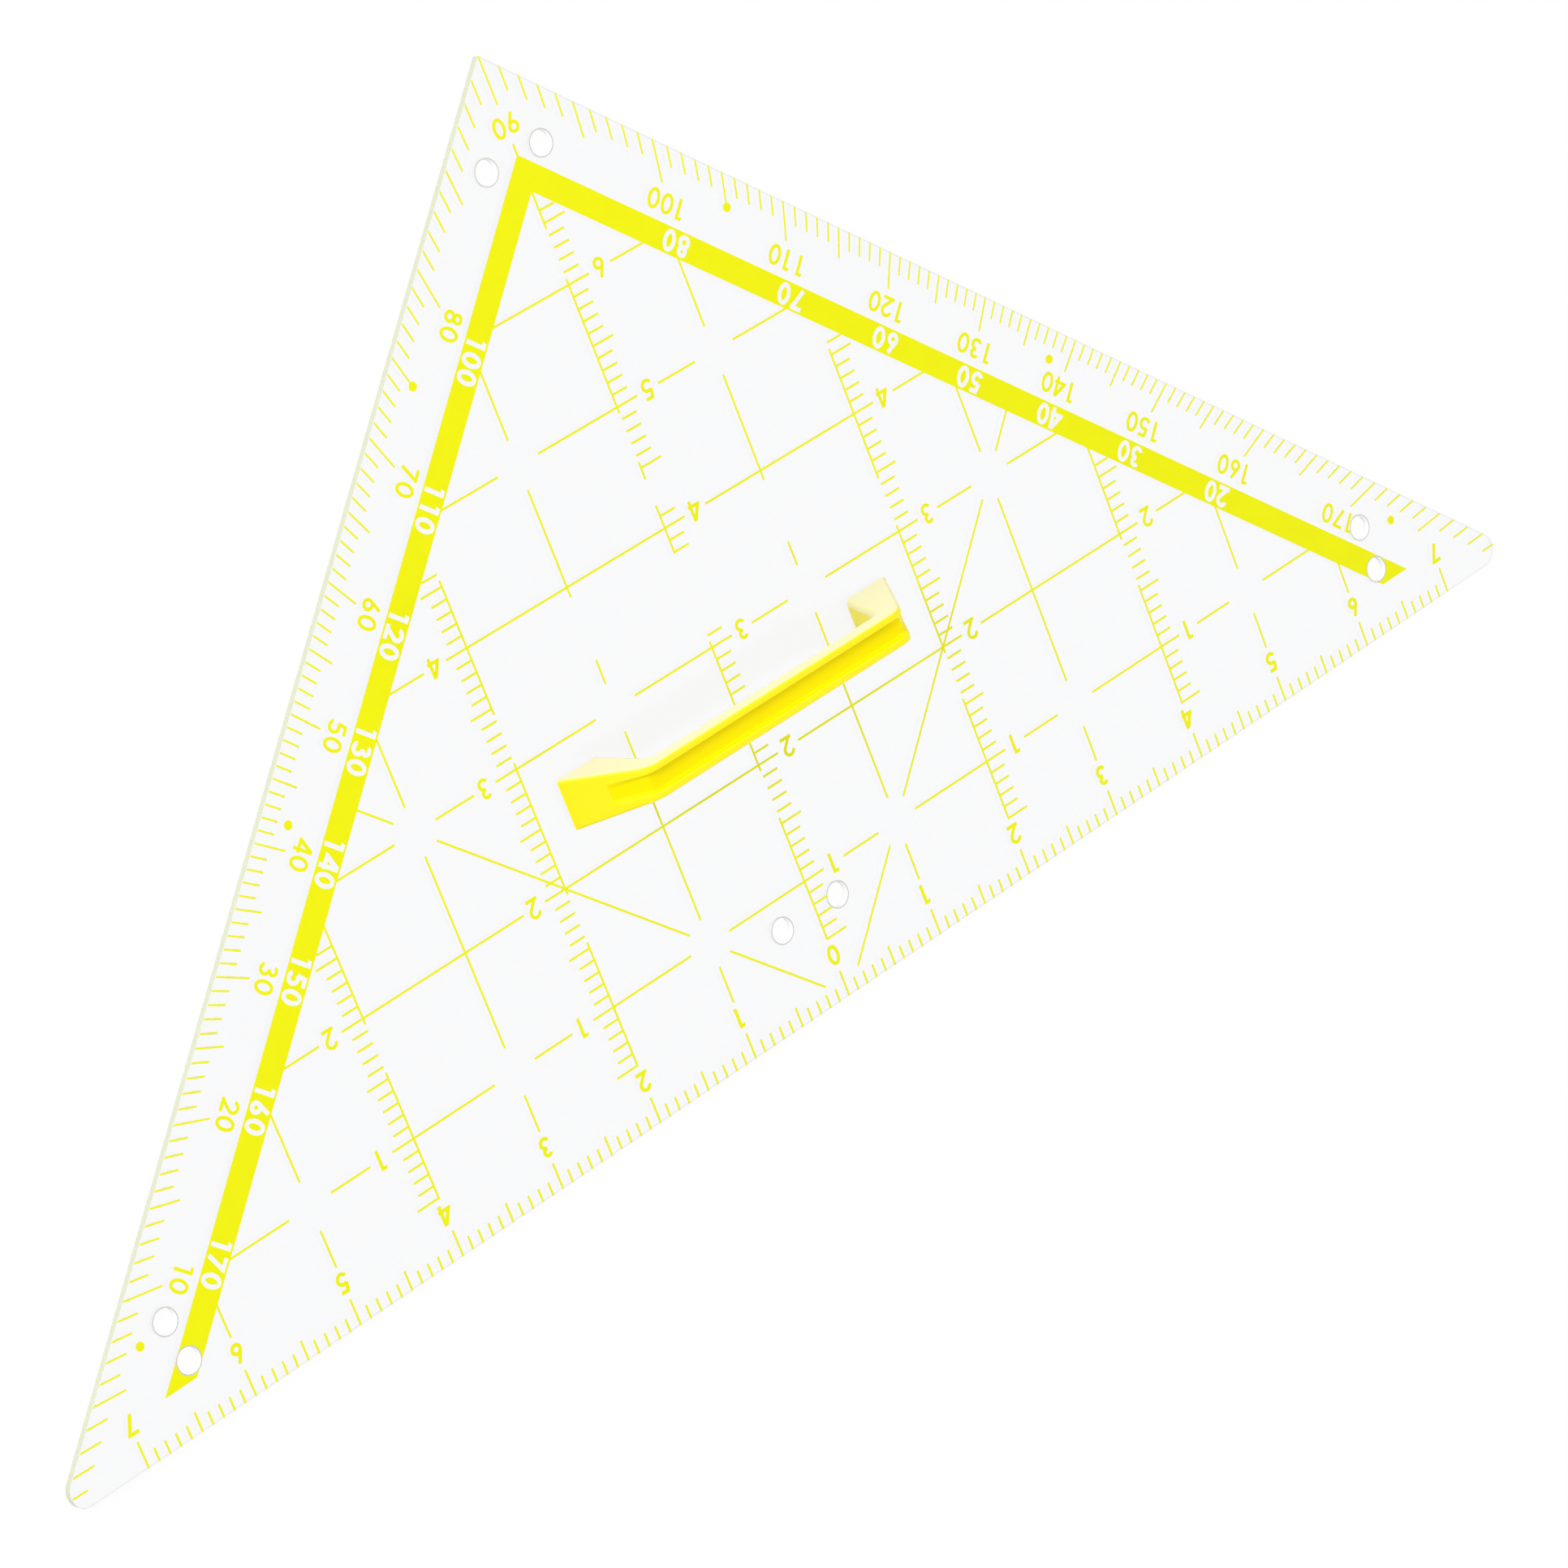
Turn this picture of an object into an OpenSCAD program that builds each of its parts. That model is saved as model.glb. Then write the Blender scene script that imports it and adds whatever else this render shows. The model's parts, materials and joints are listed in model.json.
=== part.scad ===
// Blackboard set square: a clear acrylic triangle with a printed scale and a moulded carrying handle.
// It lies flat with the printed face up. x runs along the drawing edge, y towards the square corner.
// Sizes are in millimetres, and angles in degrees.

/* [Plate] */
// Half of the drawing edge, to the sharp corner before rounding
plate_half = 392; // [370:1:430]
// Thickness of the clear sheet
plate_t = 3; // [2:0.5:6]
// Rounding of the two narrow tips
tip_r = 7; // [3:0.5:12]
// Rounding of the square corner
apex_r = 1; // [0.5:0.5:6]

/* [Holes] */
// Diameter of the eight through holes
hole_d = 10; // [6:0.5:11]
// Left apex hole: place along the edge, drop below the square corner
apex_hole_left = [-15.3, 40]; // [-20:0.1:45]
// Right apex hole: place along the edge, drop below the square corner
apex_hole_right = [11.8, 40]; // [10:0.1:45]
// Left base hole: place along the edge, height above it
base_hole_left = [-17.5, 38]; // [-22:0.1:42]
// Right base hole: place along the edge, height above it
base_hole_right = [12, 38]; // [10:0.1:42]
// Upper hole at the left tip: distance in from the sharp corner, height above the edge
left_tip_hole_high = [70.9, 43.6]; // [40:0.1:80]
// Lower hole at the left tip: distance in from the sharp corner, height above the edge
left_tip_hole_low = [73.3, 26.2]; // [24:0.1:80]
// Upper hole at the right tip: distance in from the sharp corner, height above the edge
right_tip_hole_high = [74.8, 45.8]; // [40:0.1:80]
// Lower hole at the right tip: distance in from the sharp corner, height above the edge
right_tip_hole_low = [73.95, 26.4]; // [24:0.1:80]

/* [Printing] */
// Thickness of the printed ink
ink_t = 0.1; // [0.05:0.05:0.3]
// Width of a printed line
line_w = 0.85; // [0.5:0.05:1.4]
// Bare strip between the print and the cut edge
print_margin = 0.3; // [0.1:0.1:1]

/* [Edge scale] */
// Length of one numbered step
unit_len = 50; // [44:1:54]
// Divisions in one numbered step
unit_ticks = 10; // [4:2:20]
// Bare length of the edge before each sharp corner
edge_scale_clear = 41; // [30:1:60]
// Reach of an ordinary tick
edge_tick = 5.8; // [4:0.1:7]
// Reach of a half-step tick
edge_half_tick = 8.5; // [7:0.1:9.5]
// Reach of a numbered tick
edge_unit_tick = 11.2; // [9:0.1:12.5]
// Height of the numerals' middle above the edge
edge_numeral_y = 18; // [17.5:0.1:19]

/* [Angle scale] */
// Width of a degree tick
degree_line_w = 0.74; // [0.5:0.02:1]
// Depth of a one-degree tick, square to the leg
degree_tick = 7.3; // [5:0.1:9]
// Depth of a five-degree tick, square to the leg
five_tick = 11.3; // [9:0.1:12.5]
// Depth of a ten-degree tick, square to the leg
ten_tick = 14; // [12:0.1:15.5]
// Depth of the middle of the numerals between the ticks and the band
degree_numeral_depth = 20.7; // [20.2:0.1:23]
// Depth of the coloured band's outer side
band_depth = 28; // [27.5:0.1:30]
// Width of the coloured band
band_w = 10.4; // [9.6:0.1:12]
// Height above the edge at which the band is cut off
band_end_y = 19.1; // [16:0.1:20]
// Depth of the middle of the numerals in the band
band_numeral_depth = 33.2; // [32.8:0.1:33.8]
// Length of the short line on the band's peak
peak_line = 4.3; // [2:0.1:4.8]
// Diameter of the marker dots
dot_d = 3.6; // [2:0.1:4.5]
// Depth of the marker dots, square to the leg
dot_depth = 12; // [11.5:0.1:13]

/* [Ruled field] */
// Height above the edge at which the field's lines start
field_start = 24.5; // [24:0.1:25]
// Numbered steps between two upright scales
column_steps = 2; // [2:2:4]
// Reach of an ordinary tick on an upright scale
column_tick = 7.5; // [5:0.1:9]
// Reach of a half-step tick on an upright scale
column_half_tick = 10.3; // [9:0.1:11]
// Length of one dash of an upright scale's line
column_dash = 55; // [45:1:60]
// Distance from the middle of one dash to the next
column_dash_pitch = 75; // [70:1:90]
// Distance of a column's numerals from its line
column_numeral_x = 15.7; // [15:0.1:17]
// Distance from a column's line at which a rule starts again past the numeral
rule_restart = 21; // [20:0.1:24]
// Bare distance round a crossing of odd steps
crossing_gap = 10; // [6:0.1:12]
// Distance of the diagonals' start from the zero mark
diagonal_start = 12.3; // [10:0.1:16]
// Bare stretch of the centre scale's lower label space: start and end heights
lower_label_space = [157, 189.5]; // [150:0.1:200]
// Bare stretch of the centre scale's upper label space: start and end heights
upper_label_space = [209.5, 220.2]; // [200:0.1:240]
// Bare stretch of the first uprights beside the lower label space: start and end heights
upright_label_space = [170, 196]; // [160:0.1:200]
// Bare length past a label space in which no tick stands
label_tick_clear = 1.2; // [0.5:0.1:2]

/* [Numerals] */
// Height of the plain numerals
numeral_h = 8.2; // [6:0.1:8.6]
// Stroke of the plain numerals
numeral_stroke = 1.3; // [0.8:0.05:1.5]
// Stroke of the numerals along the drawing edge
edge_numeral_stroke = 1.45; // [0.8:0.05:1.6]
// Distance from one plain numeral to the next
numeral_pitch = 6.45; // [6.2:0.05:8]
// Height of the numerals left open in the band
band_numeral_h = 8.8; // [6:0.1:9]
// Stroke of the numerals left open in the band
band_numeral_stroke = 1.8; // [1:0.05:1.9]
// Distance from one band numeral to the next
band_numeral_pitch = 6.75; // [6.5:0.05:8]
// Bare distance that the band keeps from the numerals of the drawing edge
numeral_clear = 1; // [0.5:0.1:2]

/* [Handle] */
// Height of the handle's middle above the drawing edge
handle_y = 127.3; // [122:0.1:130]
// Length of the handle over its feet
handle_len = 172; // [166:1:180]
// Length of each foot on the plate
foot_len = 21.2; // [16:0.2:24]
// Width of the handle on the plate
handle_w = 21; // [16:0.5:24]
// Width of the handle at the top
handle_top_w = 13.8; // [12:0.2:16]
// Height of the handle above the plate
handle_h = 31; // [28:0.5:40]
// Length of the straight top between its bends
handle_top_len = 132; // [126:1:140]
// Thickness of the bar between the feet
bar_t = 7.5; // [6:0.5:10]
// Length of the finger gap under the bar, between its bends
gap_top_len = 118; // [108:1:122]
// Rounding of the bends on top
bend_r = 9; // [4:0.5:14]
// Rounding of the bends under the bar
gap_bend_r = 4; // [2:0.5:8]
// Rounding of the top's long edges
rim_r = 1.4; // [0.8:0.1:2]
// Width of the trough in the top
trough_w = 8.4; // [7:0.2:10]
// Depth of the trough
trough_depth = 2.8; // [1.5:0.1:3.5]
// Length of the trough, between the places where its floor runs out on the slopes
trough_len = 152; // [148:1:156]
// Length of the trough's level floor, between its bends
trough_floor_len = 131.6; // [126:0.2:132.4]

/* [Fasteners] */
// Diameter of the screws' thread
screw_d = 4; // [3:0.5:5]
// Diameter of the screws' countersunk heads
screw_head_d = 8; // [7:0.5:9]
// Length of the screws, head included
screw_len = 10; // [8:0.5:11]
// Clearance round the screws in the plate
screw_clear = 0.15; // [0.05:0.05:0.4]
// Clearance between a screw and its insert
thread_clear = 0.05; // [0.02:0.01:0.1]
// Depth of the screws' cross recess
recess_depth = 1.2; // [0.8:0.1:1.5]
// Width of the cross recess's arms
recess_w = 0.9; // [0.6:0.1:1.2]
// Span of the cross recess
recess_span = 4.2; // [3:0.1:5]
// Outer diameter of the threaded inserts
insert_d = 6.4; // [6:0.2:7.6]
// Length of the threaded inserts
insert_len = 6.5; // [5:0.5:7]
// Free depth past a screw's tip
tip_clear = 0.5; // [0.2:0.1:1]

/* [Hidden] */
$fn = 48;

clear_colour = [0.93, 0.95, 0.96, 0.35];
ink_colour = [0.96, 0.95, 0.0];
handle_colour = [1.0, 0.92, 0.0];
steel_colour = [0.75, 0.76, 0.78];
brass_colour = [0.80, 0.64, 0.30];

root2 = sqrt(2);
quarter_turn = 90;
// The printed numerals read from the drawing edge's far side
label_turn = 180;
leg_turn = 45;
last_degree = 89;
five_step = 5;
ten_step = 10;
dot_angles = [7, 42, 75];
left_band_labels = [10, 20, 30, 40, 50, 60, 70, 80];
right_band_labels = [20, 30, 40, 50, 60, 70, 80];
// Over-reach of a cut past the faces that it opens
cut_over = 1;
arc_steps = 8;
// Share of the stroke by which the two bowls of a 3 or an 8 run into each other
bowl_overlap = 0.85;
// Turn by which a bowl runs on into the straight stroke that leaves it
neck_overlap = 8;

tip_tangent = tip_r * (1 + root2);
plate_depth = plate_half - apex_r * (root2 - 1);
tick_len = unit_len / unit_ticks;
edge_units = floor((plate_half - edge_scale_clear) / unit_len);
column_pitch = unit_len * column_steps;
band_outer = plate_half - band_depth * root2;
band_inner = plate_half - (band_depth + band_w) * root2;
column_count = floor((band_inner - field_start - unit_len * column_steps) / column_pitch);
upright_count = floor((band_inner - field_start) / unit_len);
rule_count = floor((band_inner - column_tick) / unit_len);
screw_x = (handle_len - foot_len) / 2;
screw_head_h = (screw_head_d - screw_d) / 2;
hole_points = [
  [apex_hole_left.x, plate_half - apex_hole_left.y],
  [apex_hole_right.x, plate_half - apex_hole_right.y],
  base_hole_left,
  base_hole_right,
  [left_tip_hole_high.x - plate_half, left_tip_hole_high.y],
  [left_tip_hole_low.x - plate_half, left_tip_hole_low.y],
  [plate_half - right_tip_hole_high.x, right_tip_hole_high.y],
  [plate_half - right_tip_hole_low.x, right_tip_hole_low.y]
];

// Direction of length 1
function direction(v) = v / norm(v);
// Turn from angle a to angle b by the short way
function short_turn(a, b) = let (d = b - a) d - 360 * floor((d + 180) / 360);
// Points of the arc that rounds corner b of the path a, b, c
function rounded(a, b, c, r) =
  let (
    u = direction(a - b),
    v = direction(c - b),
    half = acos(u * v) / 2,
    middle = b + direction(u + v) * r / sin(half),
    p = b + u * r / tan(half) - middle,
    q = b + v * r / tan(half) - middle,
    start = atan2(p.y, p.x),
    turn = short_turn(start, atan2(q.y, q.x))
  )
  [for (i = [0 : arc_steps]) let (at = start + turn * i / arc_steps) middle + r * [cos(at), sin(at)]];
// The points mirrored in the upright axis, in the reverse order
function mirrored(points) = [for (i = [len(points) - 1 : -1 : 0]) [-points[i].x, points[i].y]];
// Point at an angle from the left tip (side -1) or the right tip (side 1), at a depth square to that leg
function leg_point(side, angle, depth) =
  let (reach = (plate_half - depth * root2) / (cos(angle) + sin(angle)))
  [side * reach * cos(angle), reach * sin(angle)];
// Depth of the tick at a whole degree
function tick_depth(angle) =
  angle % ten_step == 0 ? ten_tick : angle % five_step == 0 ? five_tick : degree_tick;
// True where a height lies in one of the centre scale's label spaces
function in_label_space(y) =
  (y > lower_label_space[0] - label_tick_clear && y < lower_label_space[1] - label_tick_clear) ||
  (y > upper_label_space[0] - label_tick_clear && y < upper_label_space[1] + label_tick_clear);

// Everything is drawn from the zero mark on the drawing edge, then set with its box's middle on the origin
module placed() {
  translate([0, -plate_depth / 2, 0]) children();
}

// Ink laid on the plate's upper face, open at the through holes
module printed() {
  placed() translate([0, 0, plate_t]) linear_extrude(ink_t) difference() {
    children();
    hole_outlines();
  }
}

module hole_outlines() {
  for (p = hole_points) translate(p) circle(d = hole_d);
}

// A straight stroke from a to b
module stroke(a, b, w = line_w) {
  translate(a) rotate(atan2(b.y - a.y, b.x - a.x)) translate([0, -w / 2]) square([norm(b - a), w]);
}

// Part of a ring of outer radius r between two angles
module ring_part(r, w, from, to) {
  intersection() {
    ring(r, w);
    polygon(concat([[0, 0]], [for (i = [0 : arc_steps])
      2 * r * [cos(from + (to - from) * i / arc_steps), sin(from + (to - from) * i / arc_steps)]]));
  }
}

module ring(r, w) {
  difference() {
    circle(r);
    circle(r - w);
  }
}

// An oval of width w and height h, with ends of radius r that run into flatter sides
module oval(w, h, r) {
  rise = h / 2 - r;
  side_r = (w * w / 4 + rise * rise - r * r) / (w - 2 * r);
  meet = rise * side_r / (side_r - r);
  intersection() {
    translate([side_r - w / 2, 0]) circle(side_r);
    translate([w / 2 - side_r, 0]) circle(side_r);
    square([w, 2 * meet], center = true);
  }
  for (side = [-1, 1]) translate([0, side * rise]) circle(r);
}

// Numeral shapes of height h and stroke s, each about its own middle
module numeral_0(h, s) {
  w = 0.68 * h;
  end_r = 0.27 * h;
  difference() {
    oval(w, h, end_r);
    oval(w - 2 * s, h - 2 * s, end_r - s);
  }
}

module numeral_1(h, s) {
  right = 0.18 * h;
  translate([right - s, -h / 2]) square([s, h]);
  polygon([[right - s / 2, h / 2], [-0.13 * h, h / 2], [-0.18 * h, h / 2 - s], [right - s / 2, h / 2 - s]]);
}

module numeral_2(h, s) {
  r = 0.325 * h;
  neck = -38;
  middle = [0, h / 2 - r];
  translate(middle) ring_part(r, s, neck - neck_overlap, 172);
  stroke(middle + (r - s / 2) * [cos(neck), sin(neck)], [-r + s * 0.8, s * 0.55 - h / 2], s);
  translate([-r, -h / 2]) square([2 * r, s]);
}

module numeral_3(h, s) {
  upper = 0.26 * h;
  lower = (h + bowl_overlap * s) / 2 - upper;
  translate([0, h / 2 - upper]) ring_part(upper, s, -100, 158);
  translate([0, lower - h / 2]) ring_part(lower, s, -158, 100);
}

module numeral_4(h, s) {
  left = -0.36 * h;
  right = 0.34 * h;
  stem = 0.1 * h;
  bar = -0.3 * h;
  low = [left + 1.35 * s, bar + s / 2];
  high = [stem + s, h / 2];
  rise = (high.y - low.y) / (high.x - low.x);
  difference() {
    polygon([
      [left, bar], [left, low.y], [stem - 0.2 * s, high.y], high, [high.x, bar + s], [right, bar + s],
      [right, bar], [high.x, bar], [high.x, -h / 2], [stem, -h / 2], [stem, bar]
    ]);
    polygon([[low.x + s / 2 / rise, bar + s], [stem, bar + s], [stem, low.y + (stem - low.x) * rise]]);
  }
}

module numeral_5(h, s) {
  r = 0.33 * h;
  middle = [-0.02 * h, r - h / 2];
  translate([-0.19 * h, h / 2 - s]) square([0.45 * h, s]);
  stroke([-0.19 * h + s / 2, h / 2 - s / 4], middle + (r - s / 2) * [cos(132), sin(132)], s);
  translate(middle) ring_part(r, s, -155, 132);
}

module numeral_6(h, s) {
  r = 0.3 * h;
  middle = [0, r - h / 2];
  translate(middle) ring(r, s);
  stroke(middle + (r - s / 2) * [cos(148), sin(148)], [0.1 * h, h / 2 - s * 0.2], s);
}

module numeral_7(h, s) {
  half = 0.3 * h;
  translate([-half, h / 2 - s]) square([2 * half, s]);
  stroke([half - s * 0.55, h / 2 - s / 2], [-0.19 * h, s * 0.2 - h / 2], s);
}

module numeral_8(h, s) {
  upper = 0.27 * h;
  lower = (h + bowl_overlap * s) / 2 - upper;
  translate([0, h / 2 - upper]) ring(upper, s);
  translate([0, lower - h / 2]) ring(lower, s);
}

module numeral(n, h, s) {
  if (n == 0) numeral_0(h, s);
  if (n == 1) numeral_1(h, s);
  if (n == 2) numeral_2(h, s);
  if (n == 3) numeral_3(h, s);
  if (n == 4) numeral_4(h, s);
  if (n == 5) numeral_5(h, s);
  if (n == 6) numeral_6(h, s);
  if (n == 7) numeral_7(h, s);
  if (n == 8) numeral_8(h, s);
  if (n == 9) rotate(label_turn) numeral_6(h, s);
}

// A whole number of up to three figures, about its own middle
module number(n, h, s, pitch) {
  hundreds = floor(n / 100);
  tens = floor(n / 10) % 10;
  figures = n < 10 ? [n] : n < 100 ? [tens, n % 10] : [hundreds, tens, n % 10];
  for (i = [0 : len(figures) - 1])
    translate([(i - (len(figures) - 1) / 2) * pitch, 0]) numeral(figures[i], h, s);
}

module plain_number(n, s = numeral_stroke) {
  number(n, numeral_h, s, numeral_pitch);
}

module band_number(n) {
  number(n, band_numeral_h, band_numeral_stroke, band_numeral_pitch);
}

// Set a label on the ray at an angle from one tip, reading from inside the triangle
module on_leg(side, angle, depth) {
  translate(leg_point(side, angle, depth)) rotate(label_turn - side * leg_turn) children();
}

module band_outline() {
  polygon([
    [band_end_y - band_outer, band_end_y], [0, band_outer], [band_outer - band_end_y, band_end_y],
    [band_inner - band_end_y, band_end_y], [0, band_inner], [band_end_y - band_inner, band_end_y]
  ]);
}

// Rounds about the numerals of the drawing edge that the band keeps out of
module edge_numeral_spaces() {
  for (i = [-edge_units : edge_units])
    translate([i * unit_len, edge_numeral_y]) circle(numeral_h / 2 + numeral_clear);
}

// The plate's outline less the bare strip along its cut edges
module print_area() {
  run = (tip_r - print_margin) / root2;
  middle = [plate_half - tip_tangent, tip_r];
  right_side = [[middle.x, print_margin], middle + [run, run]];
  polygon(concat(right_side, [[0, plate_half - print_margin * root2]], mirrored(right_side)));
  for (side = [-1, 1]) translate([side * middle.x, middle.y]) circle(tip_r - print_margin);
}

module edge_ticks() {
  for (i = [-edge_units * unit_ticks : edge_units * unit_ticks]) {
    reach = i % unit_ticks == 0 ? edge_unit_tick : i % (unit_ticks / 2) == 0 ? edge_half_tick : edge_tick;
    translate([i * tick_len - line_w / 2, print_margin]) square([line_w, reach - print_margin]);
  }
}

module degree_ticks(side) {
  intersection() {
    for (angle = [1 : last_degree])
      stroke(leg_point(side, angle, -line_w), leg_point(side, angle, tick_depth(angle)), degree_line_w);
    print_area();
  }
}

// The dashed line and the ticks of one upright scale, with ticks to the side named by outward
module column_scale(x, outward, spaces) {
  top = band_inner - abs(x);
  first = ceil(field_start / tick_len);
  last = floor((top - column_tick) / tick_len);
  difference() {
    for (middle = [unit_len : column_dash_pitch : top + column_dash]) {
      low = max(field_start, middle - column_dash / 2);
      high = min(top + line_w, middle + column_dash / 2);
      if (high > low) translate([x - line_w / 2, low]) square([line_w, high - low]);
    }
    for (space = spaces) translate([x - line_w, space[0]]) square([2 * line_w, space[1] - space[0]]);
  }
  for (i = [first : last])
    if (i % unit_ticks != 0 && !(len(spaces) > 0 && in_label_space(i * tick_len))) {
      reach = i % (unit_ticks / 2) == 0 ? column_half_tick : column_tick;
      stroke([x, i * tick_len], [x + outward * reach, i * tick_len]);
    }
}

module side_columns(side) {
  difference() {
    for (i = [1 : column_count]) column_scale(side * i * column_pitch, side, []);
    band_outline();
  }
}

module centre_column() {
  difference() {
    column_scale(0, 1, [lower_label_space, upper_label_space]);
    band_outline();
  }
}

// Bare rounds at the crossings of odd steps
module odd_crossings() {
  for (i = [1 : 2 : upright_count], k = [1 : 2 : rule_count], side = [-1, 1])
    translate([side * i * unit_len, k * unit_len]) circle(crossing_gap);
}

module uprights() {
  difference() {
    for (i = [1 : upright_count], side = [-1, 1])
      if (i % column_steps != 0 || i / column_steps > column_count)
        stroke([side * i * unit_len, field_start], [side * i * unit_len, band_inner - i * unit_len + line_w]);
    for (side = [-1, 1])
      translate([side * unit_len - line_w, upright_label_space[0]])
        square([2 * line_w, upright_label_space[1] - upright_label_space[0]]);
    odd_crossings();
    band_outline();
  }
}

module diagonals() {
  difference() {
    for (side = [-1, 1])
      stroke(diagonal_start / root2 * [side, 1], (band_inner / 2 + line_w) * [side, 1]);
    odd_crossings();
    for (side = [-1, 1]) side_columns(side);
    band_outline();
  }
}

// Bare stretches beside the columns, where the numerals stand
module numeral_spaces() {
  for (k = [1 : rule_count], i = [-column_count : column_count])
    if (abs(i) * column_pitch + rule_restart + k * unit_len < band_inner) {
      outward = i < 0 ? -1 : 1;
      middle = (column_half_tick + rule_restart) / 2;
      translate([i * column_pitch + outward * middle, k * unit_len])
        square([rule_restart - column_half_tick, 2 * line_w], center = true);
    }
}

module parallels() {
  difference() {
    for (k = [1 : rule_count]) {
      reach = band_inner - k * unit_len + line_w;
      stroke([-reach, k * unit_len], [reach, k * unit_len]);
    }
    numeral_spaces();
    odd_crossings();
    centre_column();
    for (side = [-1, 1]) side_columns(side);
    uprights();
    diagonals();
    band_outline();
  }
}

module plate_outline() {
  side_run = tip_tangent / root2;
  apex_run = apex_r / root2;
  right_side = [
    [plate_half - tip_tangent, 0], [plate_half - side_run, side_run], [apex_run, plate_half - apex_run]
  ];
  polygon(concat(right_side, mirrored(right_side)));
  for (side = [-1, 1]) translate([side * (plate_half - tip_tangent), tip_r]) circle(tip_r);
  translate([0, plate_half - apex_r * root2]) circle(apex_r);
}

// Side view of the handle: two raked feet and the bar that joins them
module handle_profile() {
  base = handle_len / 2;
  bend = [handle_top_len / 2, handle_h];
  gap_base = foot_len - base;
  gap_bend = [-gap_top_len / 2, handle_h - bar_t];
  outer = concat([[base, 0]], rounded([base, 0], bend, [0, handle_h], bend_r));
  inner = concat([[gap_base, 0]], rounded([gap_base, 0], gap_bend, [0, gap_bend.y], gap_bend_r));
  polygon(concat(outer, mirrored(outer), inner, mirrored(inner)));
}

// End view of the handle: sides that draw in to the top
module handle_section() {
  foot = handle_w / 2;
  top = handle_top_w / 2;
  side = concat([[foot, 0]], rounded([foot, 0], [top, handle_h], [0, handle_h], rim_r));
  polygon(concat(side, mirrored(side)));
}

// Side view of the trough, open upwards: a level floor that falls to the slope at each end and runs out there
module trough_profile() {
  run = (handle_len - handle_top_len) / 2;
  end = [trough_len / 2, (handle_len - trough_len) / 2 * handle_h / run];
  floor_bend = [trough_floor_len / 2, handle_h - trough_depth];
  past_end = end + (end - floor_bend) / 2;
  side = [[handle_top_len / 2, handle_h + 2 * trough_depth], past_end, floor_bend];
  polygon(concat(side, mirrored(side)));
}

// Turn a side view so that it stands along x, centred on its width
module upright_slab(w) {
  rotate([quarter_turn, 0, 0]) linear_extrude(w, center = true) children();
}

module at_screws() {
  for (side = [-1, 1]) translate([side * screw_x, handle_y, 0]) children();
}

module plate() {
  color(clear_colour) placed() difference() {
    linear_extrude(plate_t) plate_outline();
    for (p = hole_points)
      translate([p.x, p.y, -cut_over]) cylinder(d = hole_d, h = plate_t + 2 * cut_over);
    at_screws() {
      translate([0, 0, -cut_over]) cylinder(d = screw_d + 2 * screw_clear, h = plate_t + 2 * cut_over);
      translate([0, 0, -screw_clear])
        cylinder(d1 = screw_head_d + 4 * screw_clear, d2 = screw_d, h = screw_head_h + 2 * screw_clear);
    }
  }
}

module handle() {
  color(handle_colour) placed() difference() {
    translate([0, handle_y, plate_t]) difference() {
      intersection() {
        upright_slab(handle_w + 2 * cut_over) handle_profile();
        rotate([quarter_turn, 0, quarter_turn]) linear_extrude(handle_len, center = true) handle_section();
      }
      upright_slab(trough_w) trough_profile();
    }
    at_screws() {
      translate([0, 0, plate_t - cut_over]) cylinder(d = insert_d, h = insert_len + cut_over);
      translate([0, 0, plate_t])
        cylinder(d = screw_d + 2 * screw_clear, h = max(screw_len - plate_t, insert_len) + tip_clear);
    }
  }
}

module handle_screws() {
  color(steel_colour) placed() at_screws() difference() {
    union() {
      cylinder(d1 = screw_head_d, d2 = screw_d, h = screw_head_h);
      cylinder(d = screw_d, h = screw_len);
    }
    for (turn = [0, quarter_turn])
      rotate(turn) translate([-recess_span / 2, -recess_w / 2, -cut_over])
        cube([recess_span, recess_w, recess_depth + cut_over]);
  }
}

module threaded_inserts() {
  color(brass_colour) placed() at_screws() translate([0, 0, plate_t]) difference() {
    cylinder(d = insert_d, h = insert_len);
    translate([0, 0, -cut_over]) cylinder(d = screw_d + 2 * thread_clear, h = insert_len + 2 * cut_over);
  }
}

module edge_scale() {
  color(ink_colour) printed() edge_ticks();
}

module edge_numerals() {
  color(ink_colour) printed()
    for (i = [-edge_units : edge_units])
      translate([i * unit_len, edge_numeral_y]) rotate(label_turn) plain_number(abs(i), edge_numeral_stroke);
}

module left_degree_scale() {
  color(ink_colour) printed() degree_ticks(-1);
}

module right_degree_scale() {
  color(ink_colour) printed() degree_ticks(1);
}

module left_degree_numerals() {
  color(ink_colour) printed()
    for (angle = left_band_labels) on_leg(-1, angle, degree_numeral_depth) plain_number(angle);
}

module right_degree_numerals() {
  color(ink_colour) printed()
    for (angle = left_band_labels) on_leg(1, angle, degree_numeral_depth) plain_number(label_turn - angle);
}

module degree_dots() {
  color(ink_colour) printed() difference() {
    for (angle = dot_angles, side = [-1, 1]) translate(leg_point(side, angle, dot_depth)) circle(d = dot_d);
    for (side = [-1, 1]) degree_ticks(side);
  }
}

// The right angle's tick, its numeral and the short line above the band
module apex_mark() {
  numeral_y = plate_half - degree_numeral_depth * root2 + numeral_stroke;
  color(ink_colour) printed() {
    intersection() {
      stroke([0, plate_half - ten_tick * root2], [0, plate_half], degree_line_w);
      print_area();
    }
    translate([0, numeral_y]) rotate(label_turn) plain_number(quarter_turn);
    difference() {
      stroke([0, band_outer - line_w], [0, band_outer + peak_line]);
      band_outline();
    }
  }
}

module angle_band() {
  color(ink_colour) printed() difference() {
    band_outline();
    edge_numeral_spaces();
    for (angle = left_band_labels) on_leg(-1, angle, band_numeral_depth) band_number(label_turn - angle);
    for (angle = right_band_labels) on_leg(1, angle, band_numeral_depth) band_number(angle);
  }
}

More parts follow.
